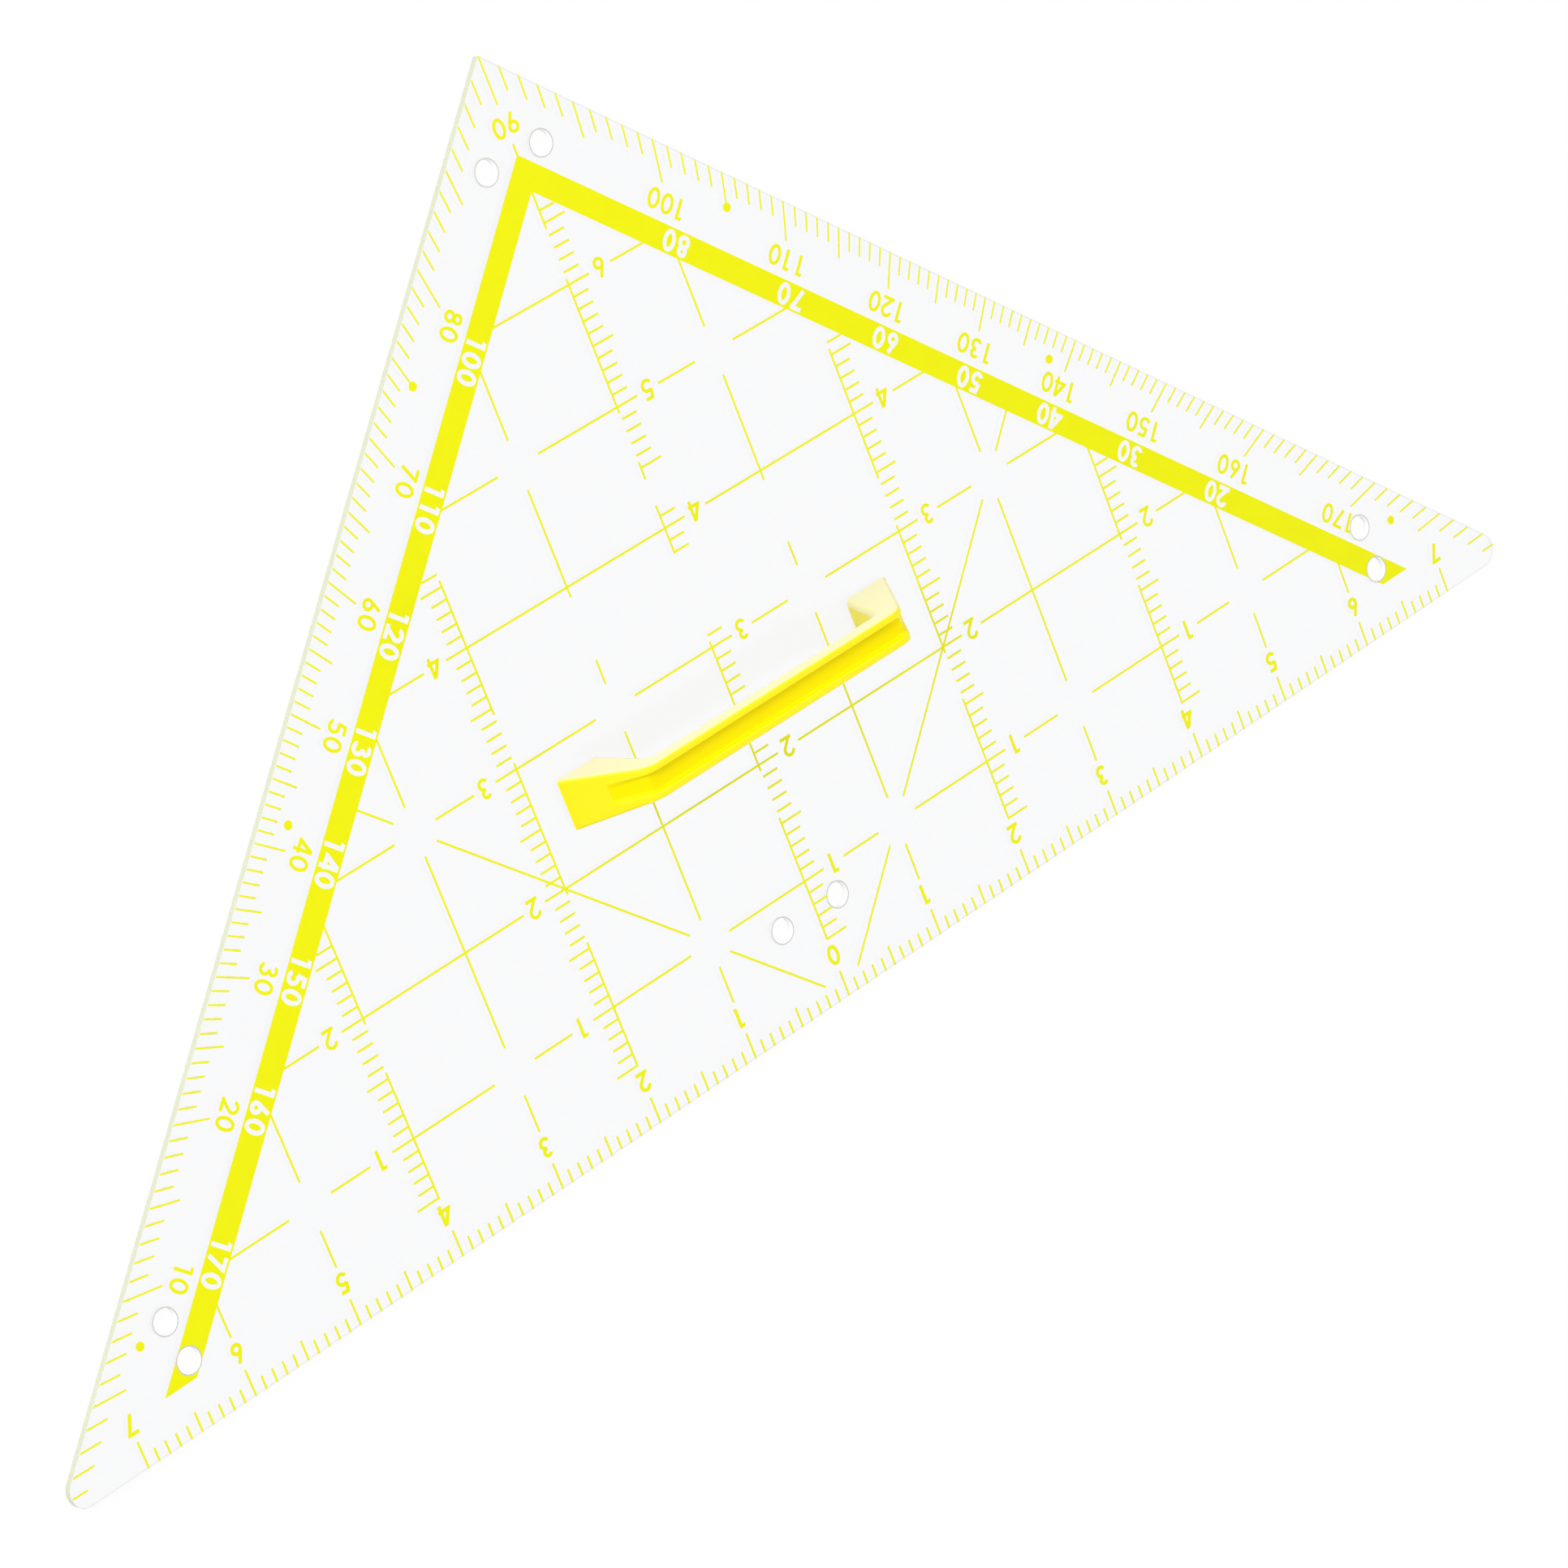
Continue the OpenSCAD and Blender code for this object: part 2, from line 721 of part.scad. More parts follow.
module centre_scale() {
  color(ink_colour) printed() centre_column();
}

module left_column_scales() {
  color(ink_colour) printed() side_columns(-1);
}

module right_column_scales() {
  color(ink_colour) printed() side_columns(1);
}

module column_numerals() {
  color(ink_colour) printed()
    for (i = [-column_count : column_count], k = [1 : rule_count])
      if (abs(i) * column_pitch + rule_restart + k * unit_len < band_inner) {
        outward = i < 0 ? -1 : 1;
        translate([i * column_pitch + outward * column_numeral_x, k * unit_len])
          rotate(label_turn) plain_number(k);
      }
}

module parallel_rules() {
  color(ink_colour) printed() parallels();
}

module upright_rules() {
  color(ink_colour) printed() uprights();
}

module diagonal_rules() {
  color(ink_colour) printed() diagonals();
}

plate();
handle();
handle_screws();
threaded_inserts();
edge_scale();
edge_numerals();
left_degree_scale();
right_degree_scale();
left_degree_numerals();
right_degree_numerals();
degree_dots();
apex_mark();
angle_band();
centre_scale();
left_column_scales();
right_column_scales();
column_numerals();
parallel_rules();
upright_rules();
diagonal_rules();
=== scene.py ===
"""Blackboard set square, dressed for viewing.

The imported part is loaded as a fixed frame. The sheet, the curved print, the handle and the screws are
rebuilt with fine curves in the same places. The straight print and the inserts keep their solids. All get a
finish here.
"""

import json
import math

import bmesh
import bpy
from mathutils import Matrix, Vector
from mathutils.geometry import delaunay_2d_cdt, tessellate_polygon


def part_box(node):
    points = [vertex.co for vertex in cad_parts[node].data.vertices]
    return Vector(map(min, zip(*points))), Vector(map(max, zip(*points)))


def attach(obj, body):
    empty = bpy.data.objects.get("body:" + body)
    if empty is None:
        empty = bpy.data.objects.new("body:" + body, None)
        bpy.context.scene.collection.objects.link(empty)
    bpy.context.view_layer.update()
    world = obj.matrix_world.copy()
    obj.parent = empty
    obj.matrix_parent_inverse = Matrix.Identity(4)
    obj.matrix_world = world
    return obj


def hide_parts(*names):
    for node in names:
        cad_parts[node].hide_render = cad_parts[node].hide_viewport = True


bl_info = {
    "name": "Blackboard set square",
    "version": (1, 0, 0),
    "blender": (4, 5, 0),
    "location": "3D View > Sidebar > Set square",
    "description": "Builds a clear blackboard set square with a printed scale and a moulded handle",
    "category": "Add Mesh",
}

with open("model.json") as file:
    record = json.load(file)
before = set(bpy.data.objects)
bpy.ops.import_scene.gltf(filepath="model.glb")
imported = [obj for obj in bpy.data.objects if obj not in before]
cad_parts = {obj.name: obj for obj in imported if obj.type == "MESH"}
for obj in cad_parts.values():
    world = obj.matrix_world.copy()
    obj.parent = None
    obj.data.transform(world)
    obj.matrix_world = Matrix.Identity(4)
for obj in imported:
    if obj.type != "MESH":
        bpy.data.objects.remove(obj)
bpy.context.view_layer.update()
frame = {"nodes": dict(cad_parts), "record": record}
PLATE_LOW, PLATE_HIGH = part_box("plate")
HANDLE_LOW, HANDLE_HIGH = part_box("handle")
# Keeps the sheet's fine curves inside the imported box, whose curves are coarser
TRIM = 0.00002
# Depth of the frosted skin that the saw and the drill leave on the sheet's edges
SKIN = 0.00001
# How near two places count as one
NEAR = 0.00002
BORES = [m for m in frame["record"]["mounts"] if m["kind"] == "bore"]

MM = 0.001
ROOT2 = math.sqrt(2)
# The printed numerals read from the drawing edge's far side
LABEL_TURN = 180
LEG_TURN = 45
LEG_LABELS = (10, 20, 30, 40, 50, 60, 70, 80)
RIGHT_BAND_LABELS = (20, 30, 40, 50, 60, 70, 80)
DOT_ANGLES = (7, 42, 75)
# Places in the drawing of the print, in millimetres: depths are square to a leg
FIGURE_PITCH = 6.45
LEG_NUMERAL_DEPTH = 20.7
EDGE_NUMERAL_RISE = 18
COLUMN_NUMERAL_SHIFT = 15.7
COLUMN_END_ROOM = 21
DOT_DEPTH = 12
DOT_RADIUS = 1.8
BAND_END_RISE = 19.1
BAND_NUMERAL_DEPTH = 33.2
BAND_NUMERAL_HEIGHT = 8.8
BAND_NUMERAL_STROKE = 1.8
BAND_FIGURE_PITCH = 6.75
# The tick and the short line at the square corner, in millimetres
APEX_TICK_WIDTH = 0.74
APEX_TICK_START = 0.3
APEX_TICK_END = 14
APEX_LINE_WIDTH = 0.85
APEX_LINE_OVERLAP = 0.2
APEX_LINE_LENGTH = 4.3
# Depths of the insert's pocket and of the screw's end in each foot
POCKET_DEPTH = 6.5 * MM
SCREW_END_DEPTH = 7.5 * MM
# Rounding of the screws' ends, and the cross recess: reach and half arm at its mouth and floor, and depth
SCREW_LIP = 0.2 * MM
RECESS_MOUTH = (2.1 * MM, 0.45 * MM)
RECESS_FLOOR = (1.5 * MM, 0.35 * MM)
RECESS_DEPTH = 1.2 * MM
# Rounding of the trough's lips and floor, and the lean of its walls, with more where it is shallow
TROUGH_LIP = 0.8 * MM
TROUGH_FILLET = 0.5 * MM
TROUGH_LEAN = 0.15 * MM
TROUGH_END_LEAN = 1.2 * MM
# Faces of each lip that keep the finish of the top
LIP_FACES = 3
# Each lamp's name, place, size and power, and whether smooth faces mirror it
LAMPS = (
    ("key_lamp", (0.3, 1.6, 1.6), 2.2, 17, True),
    ("side_lamp", (-1.8, 1.0, 0.8), 0.8, 19, True),
    ("fill_lamp", (0.9, -1.7, 0.35), 0.6, 11, False),
)
FLOOR_RADIUS = 12
FLOOR_DROP = 0.0004
FLOOR_COLOUR = (0.95, 0.95, 0.95)
ROOM_COLOUR = (0.98, 0.99, 1.0)
# Lifts a thin layer clear of the one that it lies on
RISE = 0.000004
RIM_TURNS = [math.radians(a) for a in (0, 22.5, 45, 67.5, 90)]
STRAIGHT_PRINT = (
    "edge_scale",
    "left_degree_scale",
    "right_degree_scale",
    "centre_scale",
    "left_column_scales",
    "right_column_scales",
    "parallel_rules",
    "upright_rules",
    "diagonal_rules",
)


def length_property(name, description, default):
    """A length that a user may change."""
    return bpy.props.FloatProperty(name=name, description=description, default=default, unit="LENGTH")


def colour_property(name, description, default):
    """A colour that a user may change."""
    return bpy.props.FloatVectorProperty(
        name=name, description=description, default=default, subtype="COLOR", min=0, max=1
    )


class PlateSettings(bpy.types.PropertyGroup):
    """Sizes and colours of the clear sheet."""

    half_length: length_property(
        "Half length", "Half of the drawing edge, to the sharp corner before rounding", 392 * MM
    )
    thickness: length_property("Thickness", "Thickness of the sheet", PLATE_HIGH.z)
    tip_radius: length_property("Tip radius", "Rounding of the two narrow tips", 7 * MM)
    apex_radius: length_property("Square corner radius", "Rounding of the square corner", 1 * MM)
    edge_radius: length_property(
        "Edge rounding", "Rounding of the sheet's sawn and drilled edges", 0.05 * MM
    )
    tint: colour_property("Sheet tint", "Colour of light that has passed the sheet", (0.966, 0.968, 0.978))
    edge_tint: colour_property("Edge tint", "Colour of the sawn edges", (0.62, 0.645, 0.48))
    hole_tint: colour_property("Hole tint", "Colour of the drilled walls", (0.95, 0.95, 0.94))
    # The ring round each hole is painted shade: a grey ring on the top face in place of the shading at the
    # holes' rims
    burr: length_property(
        "Burr ring", "Width of the dull ring that the drill leaves round each hole", 0.5 * MM
    )
    burr_tint: colour_property("Burr tint", "Colour of the dull rings round the holes", (0.62, 0.62, 0.57))


class PrintSettings(bpy.types.PropertyGroup):
    """Sizes and colour of the printed scale."""

    film: length_property("Film", "Thickness of the printed ink", 0.1 * MM)
    step: length_property("Numbered step", "Length of one numbered step of the scale", 50 * MM)
    numeral_height: length_property("Numeral height", "Height of the plain numerals", 8.2 * MM)
    numeral_stroke: length_property("Numeral stroke", "Stroke of the plain numerals", 1.3 * MM)
    edge_stroke: length_property(
        "Edge numeral stroke", "Stroke of the numerals along the drawing edge", 1.45 * MM
    )
    band_depth: length_property("Band depth", "Distance of the coloured band from the legs", 28 * MM)
    band_width: length_property("Band width", "Width of the coloured band", 10.4 * MM)
    colour: colour_property("Ink", "Colour of the printed ink", (0.87, 0.865, 0.0))


class HandleSettings(bpy.types.PropertyGroup):
    """Sizes and colour of the moulded handle."""

    foot: length_property("Foot length", "Length of each foot on the sheet", 21.2 * MM)
    top_width: length_property("Top width", "Width of the handle at the top", 13.8 * MM)
    top_length: length_property("Top length", "Length of the straight top between its bends", 132 * MM)
    bar: length_property("Bar thickness", "Thickness of the bar between the feet", 7.5 * MM)
    gap_length: length_property("Finger gap length", "Length of the finger gap under the bar", 118 * MM)
    bend: length_property("Bend radius", "Rounding of the bends on top", 9 * MM)
    gap_bend: length_property("Gap bend radius", "Rounding of the bends under the bar", 4 * MM)
    rim: length_property("Rim radius", "Rounding of the handle's long edges", 1.4 * MM)
    gap_rim: length_property("Gap rim radius", "Rounding of the long edges round the finger gap", 2.6 * MM)
    trough_width: length_property("Trough width", "Width of the trough in the top", 8.4 * MM)
    trough_depth: length_property("Trough depth", "Depth of the trough in the top", 2.8 * MM)
    trough_length: length_property(
        "Trough length",
        "Length of the trough between the places where its floor runs out on the slopes",
        152 * MM,
    )
    trough_step: length_property("Trough step", "Depth at which the trough starts on each slope", 0.35 * MM)
    trough_blend: length_property("Trough blend", "Softness of the bends in the trough's floor", 0.9 * MM)
    floor_length: length_property(
        "Trough floor length", "Length of the trough's level floor between its bends", 131.6 * MM
    )
    colour: colour_property("Plastic", "Colour of the moulded plastic", (1.0, 0.88, 0.0))
    # The sides' plastic is painted paler, with a white sheen haze in its material, as painted light where
    # strong light falls
    side_colour: colour_property("Textured plastic", "Colour of the textured sides", (1.0, 0.88, 0.04))
    # The trough's plastic is a deeper yellow, as painted shade in the recess
    trough_colour: colour_property(
        "Trough plastic", "Colour of the trough, which the hand and the light bleach less", (1.0, 0.85, 0.0)
    )


class FixingSettings(bpy.types.PropertyGroup):
    """Sizes and colours of the screws and inserts."""

    shank: length_property("Screw diameter", "Diameter of the screws' thread", 4 * MM)
    head: length_property("Head diameter", "Diameter of the screws' countersunk heads", 8 * MM)
    clearance: length_property("Clearance", "Clearance round the screws in the sheet", 0.15 * MM)
    insert: length_property("Insert diameter", "Outer diameter of the threaded inserts", 6.4 * MM)
    steel: colour_property("Screw steel", "Colour of the plated screws", (0.62, 0.63, 0.65))
    brass: colour_property("Insert brass", "Colour of the threaded inserts", (0.76, 0.57, 0.24))


class StageSettings(bpy.types.PropertyGroup):
    """Camera, floor and studio light."""

    camera_place: bpy.props.FloatVectorProperty(
        name="Camera place",
        description="Where the camera stands",
        subtype="TRANSLATION",
        unit="LENGTH",
        default=(-1.213308, 0.589843, 1.846276),
    )
    camera_turn: bpy.props.FloatVectorProperty(
        name="Camera turn",
        description="How the camera is turned",
        subtype="EULER",
        default=(math.radians(-2.21702), math.radians(-37.28424), math.radians(-26.086)),
    )
    lens: bpy.props.FloatProperty(
        name="Lens",
        description="Focal length on a sensor 36 mm wide",
        default=139.743,
        unit="CAMERA",
    )
    room_light: bpy.props.FloatProperty(
        name="Room light",
        description="Strength of the even light from all round",
        default=0.68,
        min=0,
    )
    floor_share: bpy.props.FloatProperty(
        name="Floor white",
        description="Share of plain white in the floor, the rest taking shadow",
        subtype="FACTOR",
        default=0.96,
        min=0,
        max=1,
    )


class SetSquareSettings(bpy.types.PropertyGroup):
    """All settings of the set square."""

    plate: bpy.props.PointerProperty(type=PlateSettings)
    print: bpy.props.PointerProperty(type=PrintSettings)
    handle: bpy.props.PointerProperty(type=HandleSettings)
    fixing: bpy.props.PointerProperty(type=FixingSettings)
    stage: bpy.props.PointerProperty(type=StageSettings)


def in_mm(length):
    """A length in millimetres, for the drawing of the print."""
    return length / MM


def on_plate(x, y, z):
    """Row place of a drawing point in millimetres, at height z in metres."""
    return Vector((x * MM, y * MM + PLATE_LOW.y, z))


def polar(middle, radius, angle):
    """Point at a radius and an angle in degrees round a middle."""
    a = math.radians(angle)
    return (middle[0] + radius * math.cos(a), middle[1] + radius * math.sin(a))


def arc(middle, radius, start, end, steps):
    """Points on an arc, with angles in degrees."""
    return [polar(middle, radius, start + (end - start) * i / steps) for i in range(steps + 1)]


def circle(middle, radius, steps=64):
    """Points of a full circle."""
    return arc(middle, radius, 0, 360, steps)[:-1]


def rectangle(left, low, right, high):
    """An upright rectangle."""
    return [(left, low), (right, low), (right, high), (left, high)]


def stroke(a, b, width):
    """A straight stroke from a to b."""
    along = (Vector(b) - Vector(a)).normalized() * width / 2
    side = Vector((-along.y, along.x))
    return [tuple(Vector(p) + k * side) for p, k in ((a, -1), (b, -1), (b, 1), (a, 1))]


def ring_part(middle, radius, width, start, end):
    """Part of a ring of outer radius between two angles."""
    steps = max(6, round(abs(end - start) / 7.5))
    return arc(middle, radius, start, end, steps) + arc(middle, radius - width, end, start, steps)


def oval(width, height, radius):
    """An upright oval whose round ends run into flatter sides."""
    rise = height / 2 - radius
    side = (width * width / 4 + rise * rise - radius * radius) / (width - 2 * radius)
    turn = math.degrees(math.atan2(rise, side - width / 2))
    points = arc((width / 2 - side, 0), side, -turn, turn, 12)
    points += arc((0, rise), radius, turn, 180 - turn, 18)[1:]
    points += arc((side - width / 2, 0), side, 180 - turn, 180 + turn, 12)[1:]
    return points + arc((0, -rise), radius, 180 + turn, 360 - turn, 18)[1:-1]


def figure(n, h, s):
    """Solid and open outlines of one figure of height h and stroke s, about its own middle."""
    if n == 0:
        width, end = 0.68 * h, 0.27 * h
        return [oval(width, h, end)], [oval(width - 2 * s, h - 2 * s, end - s)]
    if n == 1:
        right = 0.18 * h
        stem = rectangle(right - s, -h / 2, right, h / 2)
        flag = [(right - s / 2, h / 2), (-0.13 * h, h / 2)]
        flag += [(-0.18 * h, h / 2 - s), (right - s / 2, h / 2 - s)]
        return [stem, flag], []
    if n == 2:
        r = 0.325 * h
        middle = (0, h / 2 - r)
        bowl = ring_part(middle, r, s, -46, 172)
        neck = stroke(polar(middle, r - s / 2, -38), (0.8 * s - r, 0.55 * s - h / 2), s)
        return [bowl, neck, rectangle(-r, -h / 2, r, s - h / 2)], []
    if n == 3:
        upper = 0.26 * h
        lower = (h + 0.85 * s) / 2 - upper
        high_bowl = ring_part((0, h / 2 - upper), upper, s, -100, 158)
        return [high_bowl, ring_part((0, lower - h / 2), lower, s, -158, 100)], []
    if n == 4:
        left, right, stem, bar = -0.36 * h, 0.34 * h, 0.1 * h, -0.3 * h
        low = Vector((left + 1.35 * s, bar + s / 2))
        high = Vector((stem + s, h / 2))
        rise = (high.y - low.y) / (high.x - low.x)
        outline = [(left, bar), (stem, bar), (stem, -h / 2), (high.x, -h / 2), (high.x, bar), (right, bar)]
        outline += [(right, bar + s), (high.x, bar + s), tuple(high)]
        outline += [(stem - 0.2 * s, high.y), (left, low.y)]
        counter = [(low.x + s / 2 / rise, bar + s), (stem, bar + s), (stem, low.y + (stem - low.x) * rise)]
        return [outline], [counter]
    if n == 5:
        r = 0.33 * h
        middle = (-0.02 * h, r - h / 2)
        top = rectangle(-0.19 * h, h / 2 - s, 0.26 * h, h / 2)
        back = stroke((s / 2 - 0.19 * h, h / 2 - s / 4), polar(middle, r - s / 2, 132), s)
        return [top, back, ring_part(middle, r, s, -155, 132)], []
    if n == 6:
        r = 0.3 * h
        middle = (0, r - h / 2)
        bowl = [ring_part(middle, r, s, 0, 180), ring_part(middle, r, s, 180, 360)]
        return bowl + [stroke(polar(middle, r - s / 2, 148), (0.1 * h, h / 2 - 0.2 * s), s)], []
    if n == 7:
        half = 0.3 * h
        leg = stroke((half - 0.55 * s, h / 2 - s / 2), (-0.19 * h, 0.2 * s - h / 2), s)
        return [rectangle(-half, h / 2 - s, half, h / 2), leg], []
    if n == 8:
        upper = 0.27 * h
        lower = (h + 0.85 * s) / 2 - upper
        bowls = [((0, h / 2 - upper), upper), ((0, lower - h / 2), lower)]
        return [ring_part(m, r, s, a, a + 180) for m, r in bowls for a in (0, 180)], []
    solid, _ = figure(6, h, s)
    return moved(solid, 180, (0, 0)), []


def moved(outlines, turn, place):
    """Outlines turned about their origin and set at a place."""
    c, s = math.cos(math.radians(turn)), math.sin(math.radians(turn))
    return [[(place[0] + c * x - s * y, place[1] + s * x + c * y) for x, y in points] for points in outlines]


def number(n, h, s, pitch, turn, place):
    """Tagged outlines of a whole number, about its own middle."""
    tagged = []
    figures = [int(c) for c in str(n)]
    for i, one in enumerate(figures):
        shift = ((i - (len(figures) - 1) / 2) * pitch, 0)
        solid, open_ = figure(one, h, s)
        tagged += [("ink", p) for p in moved(moved(solid, 0, shift), turn, place)]
        tagged += [("counter", p) for p in moved(moved(open_, 0, shift), turn, place)]
    return tagged


def hole_outlines():
    """Tagged outlines of the sheet's holes with their grey rings of painted shade, in the drawing."""
    burr = in_mm(bpy.context.scene.set_square.plate.burr)
    places = [(m["pos_m"][0] / MM, (m["pos_m"][1] - PLATE_LOW.y) / MM, m["dims"]["r_mm"]) for m in BORES]
    return [("hole", circle((x, y), r + burr)) for x, y, r in places]


def leg_point(half, side, angle, depth):
    """Point at an angle from the zero mark, at a depth square to the left (-1) or right (1) leg."""
    a = math.radians(angle)
    reach = (half - depth * ROOT2) / (math.cos(a) + math.sin(a))
    return (side * reach * math.cos(a), reach * math.sin(a))


def plain_ink(tags):
    """Where a plain numeral, dot or line is inked."""
    return "ink" in tags and "counter" not in tags and "hole" not in tags


def band_ink(tags):
    """Where the band is inked, its numerals being left open."""
    numeral = "ink" in tags and "counter" not in tags
    return "band" in tags and not numeral and "hole" not in tags


def object_from(bm, name):
    """A new object in the scene from a finished mesh."""
    bmesh.ops.recalc_face_normals(bm, faces=bm.faces)
    mesh = bpy.data.meshes.new(name)
    bm.to_mesh(mesh)
    bm.free()
    piece = bpy.data.objects.new(name, mesh)
    bpy.context.scene.collection.objects.link(piece)
    return piece


def film_piece(name, tagged, wanted, base, film):
    """A closed film of ink in the wanted parts of the overlaid outlines."""
    points = []
    faces = []
    for _, outline in tagged:
        faces.append(list(range(len(points), len(points) + len(outline))))
        points += [Vector(p) for p in outline]
    flat, _, cells, _, _, sources = delaunay_2d_cdt(points, [], faces, 1, 1e-5)
    cells = [c for c, source in zip(cells, sources) if wanted({tagged[i][0] for i in source})]
    if not cells:
        raise RuntimeError(f"{name} has no ink")
    used = sorted({i for c in cells for i in c})
    bm = bmesh.new()
    low = {i: bm.verts.new(on_plate(flat[i].x, flat[i].y, base)) for i in used}
    high = {i: bm.verts.new(on_plate(flat[i].x, flat[i].y, base + film)) for i in used}
    sides = {(c[k], c[(k + 1) % len(c)]) for c in cells for k in range(len(c))}
    for c in cells:
        bm.faces.new([high[i] for i in c])
        bm.faces.new([low[i] for i in reversed(c)])
    for a, b in sides:
        if (b, a) not in sides:
            bm.faces.new((low[a], low[b], high[b], high[a]))
    return object_from(bm, name)


def loop(bm, points, z):
    """Corners of a closed loop at one height."""
    return [bm.verts.new((x, y, z)) for x, y in points]


def wall(bm, first, second, material=0):
    """A strip of faces between two loops of as many corners."""
    count = len(first)
    strip = []
    for i in range(count):
        j = (i + 1) % count
        strip.append(bm.faces.new((first[i], first[j], second[j], second[i])))
        strip[-1].material_index = material
    return strip


def cap(bm, loops):
    """A flat face that fills the first loop and leaves the others open."""
    corners = [v for ring in loops for v in ring]
    for a, b, c in tessellate_polygon([[v.co for v in ring] for ring in loops]):
        bm.faces.new((corners[a], corners[b], corners[c]))


def finish_shading(piece, angle):
    """Smooth shading with sharp edges past an angle, and flats that stay flat."""
    piece.data.polygons.foreach_set("use_smooth", [True] * len(piece.data.polygons))
    piece.data.set_sharp_from_angle(angle=math.radians(angle))
    flats = piece.modifiers.new("flat_faces", "WEIGHTED_NORMAL")
    flats.keep_sharp = True
    flats.weight = 100


def dress(piece, materials, nodes):
    """Give a new piece its finishes, its body and the solids that it stands for."""
    for material in materials:
        piece.data.materials.append(material)
    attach(piece, "root")
    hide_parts(*nodes)


def add_node(tree, kind, place, **values):
    """A shader node with attributes set."""
    item = tree.nodes.new(kind)
    item.location = place
    for name, value in values.items():
        setattr(item, name, value)
    return item


def preset(item, values):
    """Set plain values on a node's own inputs."""
    for socket, value in values.items():
        item.inputs[socket].default_value = value


def join(tree, source, output, target, socket):
    """Link an output of one node to an input of another."""
    tree.links.new(source.outputs[output], target.inputs[socket])


def new_group(name, inputs, outputs):
    """An empty shader group with named sockets and its two end nodes."""
    tree = bpy.data.node_groups.new(name, "ShaderNodeTree")
    for label, kind, default in inputs:
        socket = tree.interface.new_socket(name=label, in_out="INPUT", socket_type=kind)
        socket.default_value = default
    for label, kind in outputs:
        tree.interface.new_socket(name=label, in_out="OUTPUT", socket_type=kind)
    return tree, add_node(tree, "NodeGroupInput", (-900, 0)), add_node(tree, "NodeGroupOutput", (500, 0))


def uneven_tone_group():
    """Cloudy change of a colour over the surface."""
    existing = bpy.data.node_groups.get("uneven_tone")
    if existing:
        return existing
    inputs = [
        ("Colour", "NodeSocketColor", (1, 1, 1, 1)),
        ("Scale", "NodeSocketFloat", 40.0),
        ("Strength", "NodeSocketFloat", 0.03),
    ]
    tree, start, end = new_group("uneven_tone", inputs, [("Colour", "NodeSocketColor")])
    place = add_node(tree, "ShaderNodeTexCoord", (-900, -250))
    clouds = add_node(tree, "ShaderNodeTexNoise", (-700, -200), noise_dimensions="3D")
    preset(clouds, {"Detail": 3.0})
    centred = add_node(tree, "ShaderNodeMath", (-450, -200), operation="MULTIPLY_ADD")
    preset(centred, {1: 2.0, 2: -1.0})
    factor = add_node(tree, "ShaderNodeMath", (-200, -150), operation="MULTIPLY_ADD")
    preset(factor, {2: 1.0})
    toned = add_node(tree, "ShaderNodeVectorMath", (100, 0), operation="SCALE")
    join(tree, place, "Object", clouds, "Vector")
    join(tree, start, "Scale", clouds, "Scale")
    join(tree, clouds, "Fac", centred, 0)
    join(tree, centred, 0, factor, 0)
    join(tree, start, "Strength", factor, 1)
    join(tree, start, "Colour", toned, 0)
    join(tree, factor, 0, toned, "Scale")
    join(tree, toned, 0, end, "Colour")
    return tree


def wiped_gloss_group():
    """Roughness that rises a little in long wipe marks and small dull specks."""
    existing = bpy.data.node_groups.get("wiped_gloss")
    if existing:
        return existing
    inputs = [
        ("Clean", "NodeSocketFloat", 0.02),
        ("Dull", "NodeSocketFloat", 0.1),
        ("Scale", "NodeSocketFloat", 12.0),
        ("Stretch", "NodeSocketVector", (1, 6, 1)),
    ]
    tree, start, end = new_group("wiped_gloss", inputs, [("Roughness", "NodeSocketFloat")])
    place = add_node(tree, "ShaderNodeTexCoord", (-900, -250))
    stretched = add_node(tree, "ShaderNodeVectorMath", (-700, -200), operation="MULTIPLY")
    marks = add_node(tree, "ShaderNodeTexNoise", (-500, -200), noise_dimensions="3D")
    preset(marks, {"Detail": 4.0, "Roughness": 0.6})
    ranged = add_node(tree, "ShaderNodeMapRange", (-200, -100))
    preset(ranged, {"From Min": 0.45, "From Max": 0.8})
    join(tree, place, "Object", stretched, 0)
    join(tree, start, "Stretch", stretched, 1)
    join(tree, stretched, 0, marks, "Vector")
    join(tree, start, "Scale", marks, "Scale")
    join(tree, marks, "Fac", ranged, "Value")
    join(tree, start, "Clean", ranged, "To Min")
    join(tree, start, "Dull", ranged, "To Max")
    join(tree, ranged, "Result", end, "Roughness")
    return tree


def fine_grain_group():
    """Height of a fine, even surface grain."""
    existing = bpy.data.node_groups.get("fine_grain")
    if existing:
        return existing
    inputs = [("Scale", "NodeSocketFloat", 900.0)]
    tree, start, end = new_group("fine_grain", inputs, [("Height", "NodeSocketFloat")])
    place = add_node(tree, "ShaderNodeTexCoord", (-900, -250))
    grain = add_node(tree, "ShaderNodeTexNoise", (-500, -200), noise_dimensions="3D")
    preset(grain, {"Detail": 2.0})
    join(tree, place, "Object", grain, "Vector")
    join(tree, start, "Scale", grain, "Scale")
    join(tree, grain, "Fac", end, "Height")
    return tree


def group_node(tree, group, place, **values):
    """A group placed in a material with its own values."""
    item = add_node(tree, "ShaderNodeGroup", place, node_tree=group)
    preset(item, values)
    return item


def new_material(name, colour):
    """A material with its shader, which has a plain viewport colour too."""
    material = bpy.data.materials.new(name)
    material.use_nodes = True
    material.diffuse_color = (*colour, 1)
    return material, material.node_tree, material.node_tree.nodes["Principled BSDF"]


def add_tone(tree, shader, colour, scale, strength):
    """Feed a shader's base colour with a cloudy tone."""
    tone = group_node(
        tree, uneven_tone_group(), (-500, 300), Colour=(*colour, 1), Scale=scale, Strength=strength
    )
    join(tree, tone, "Colour", shader, "Base Color")


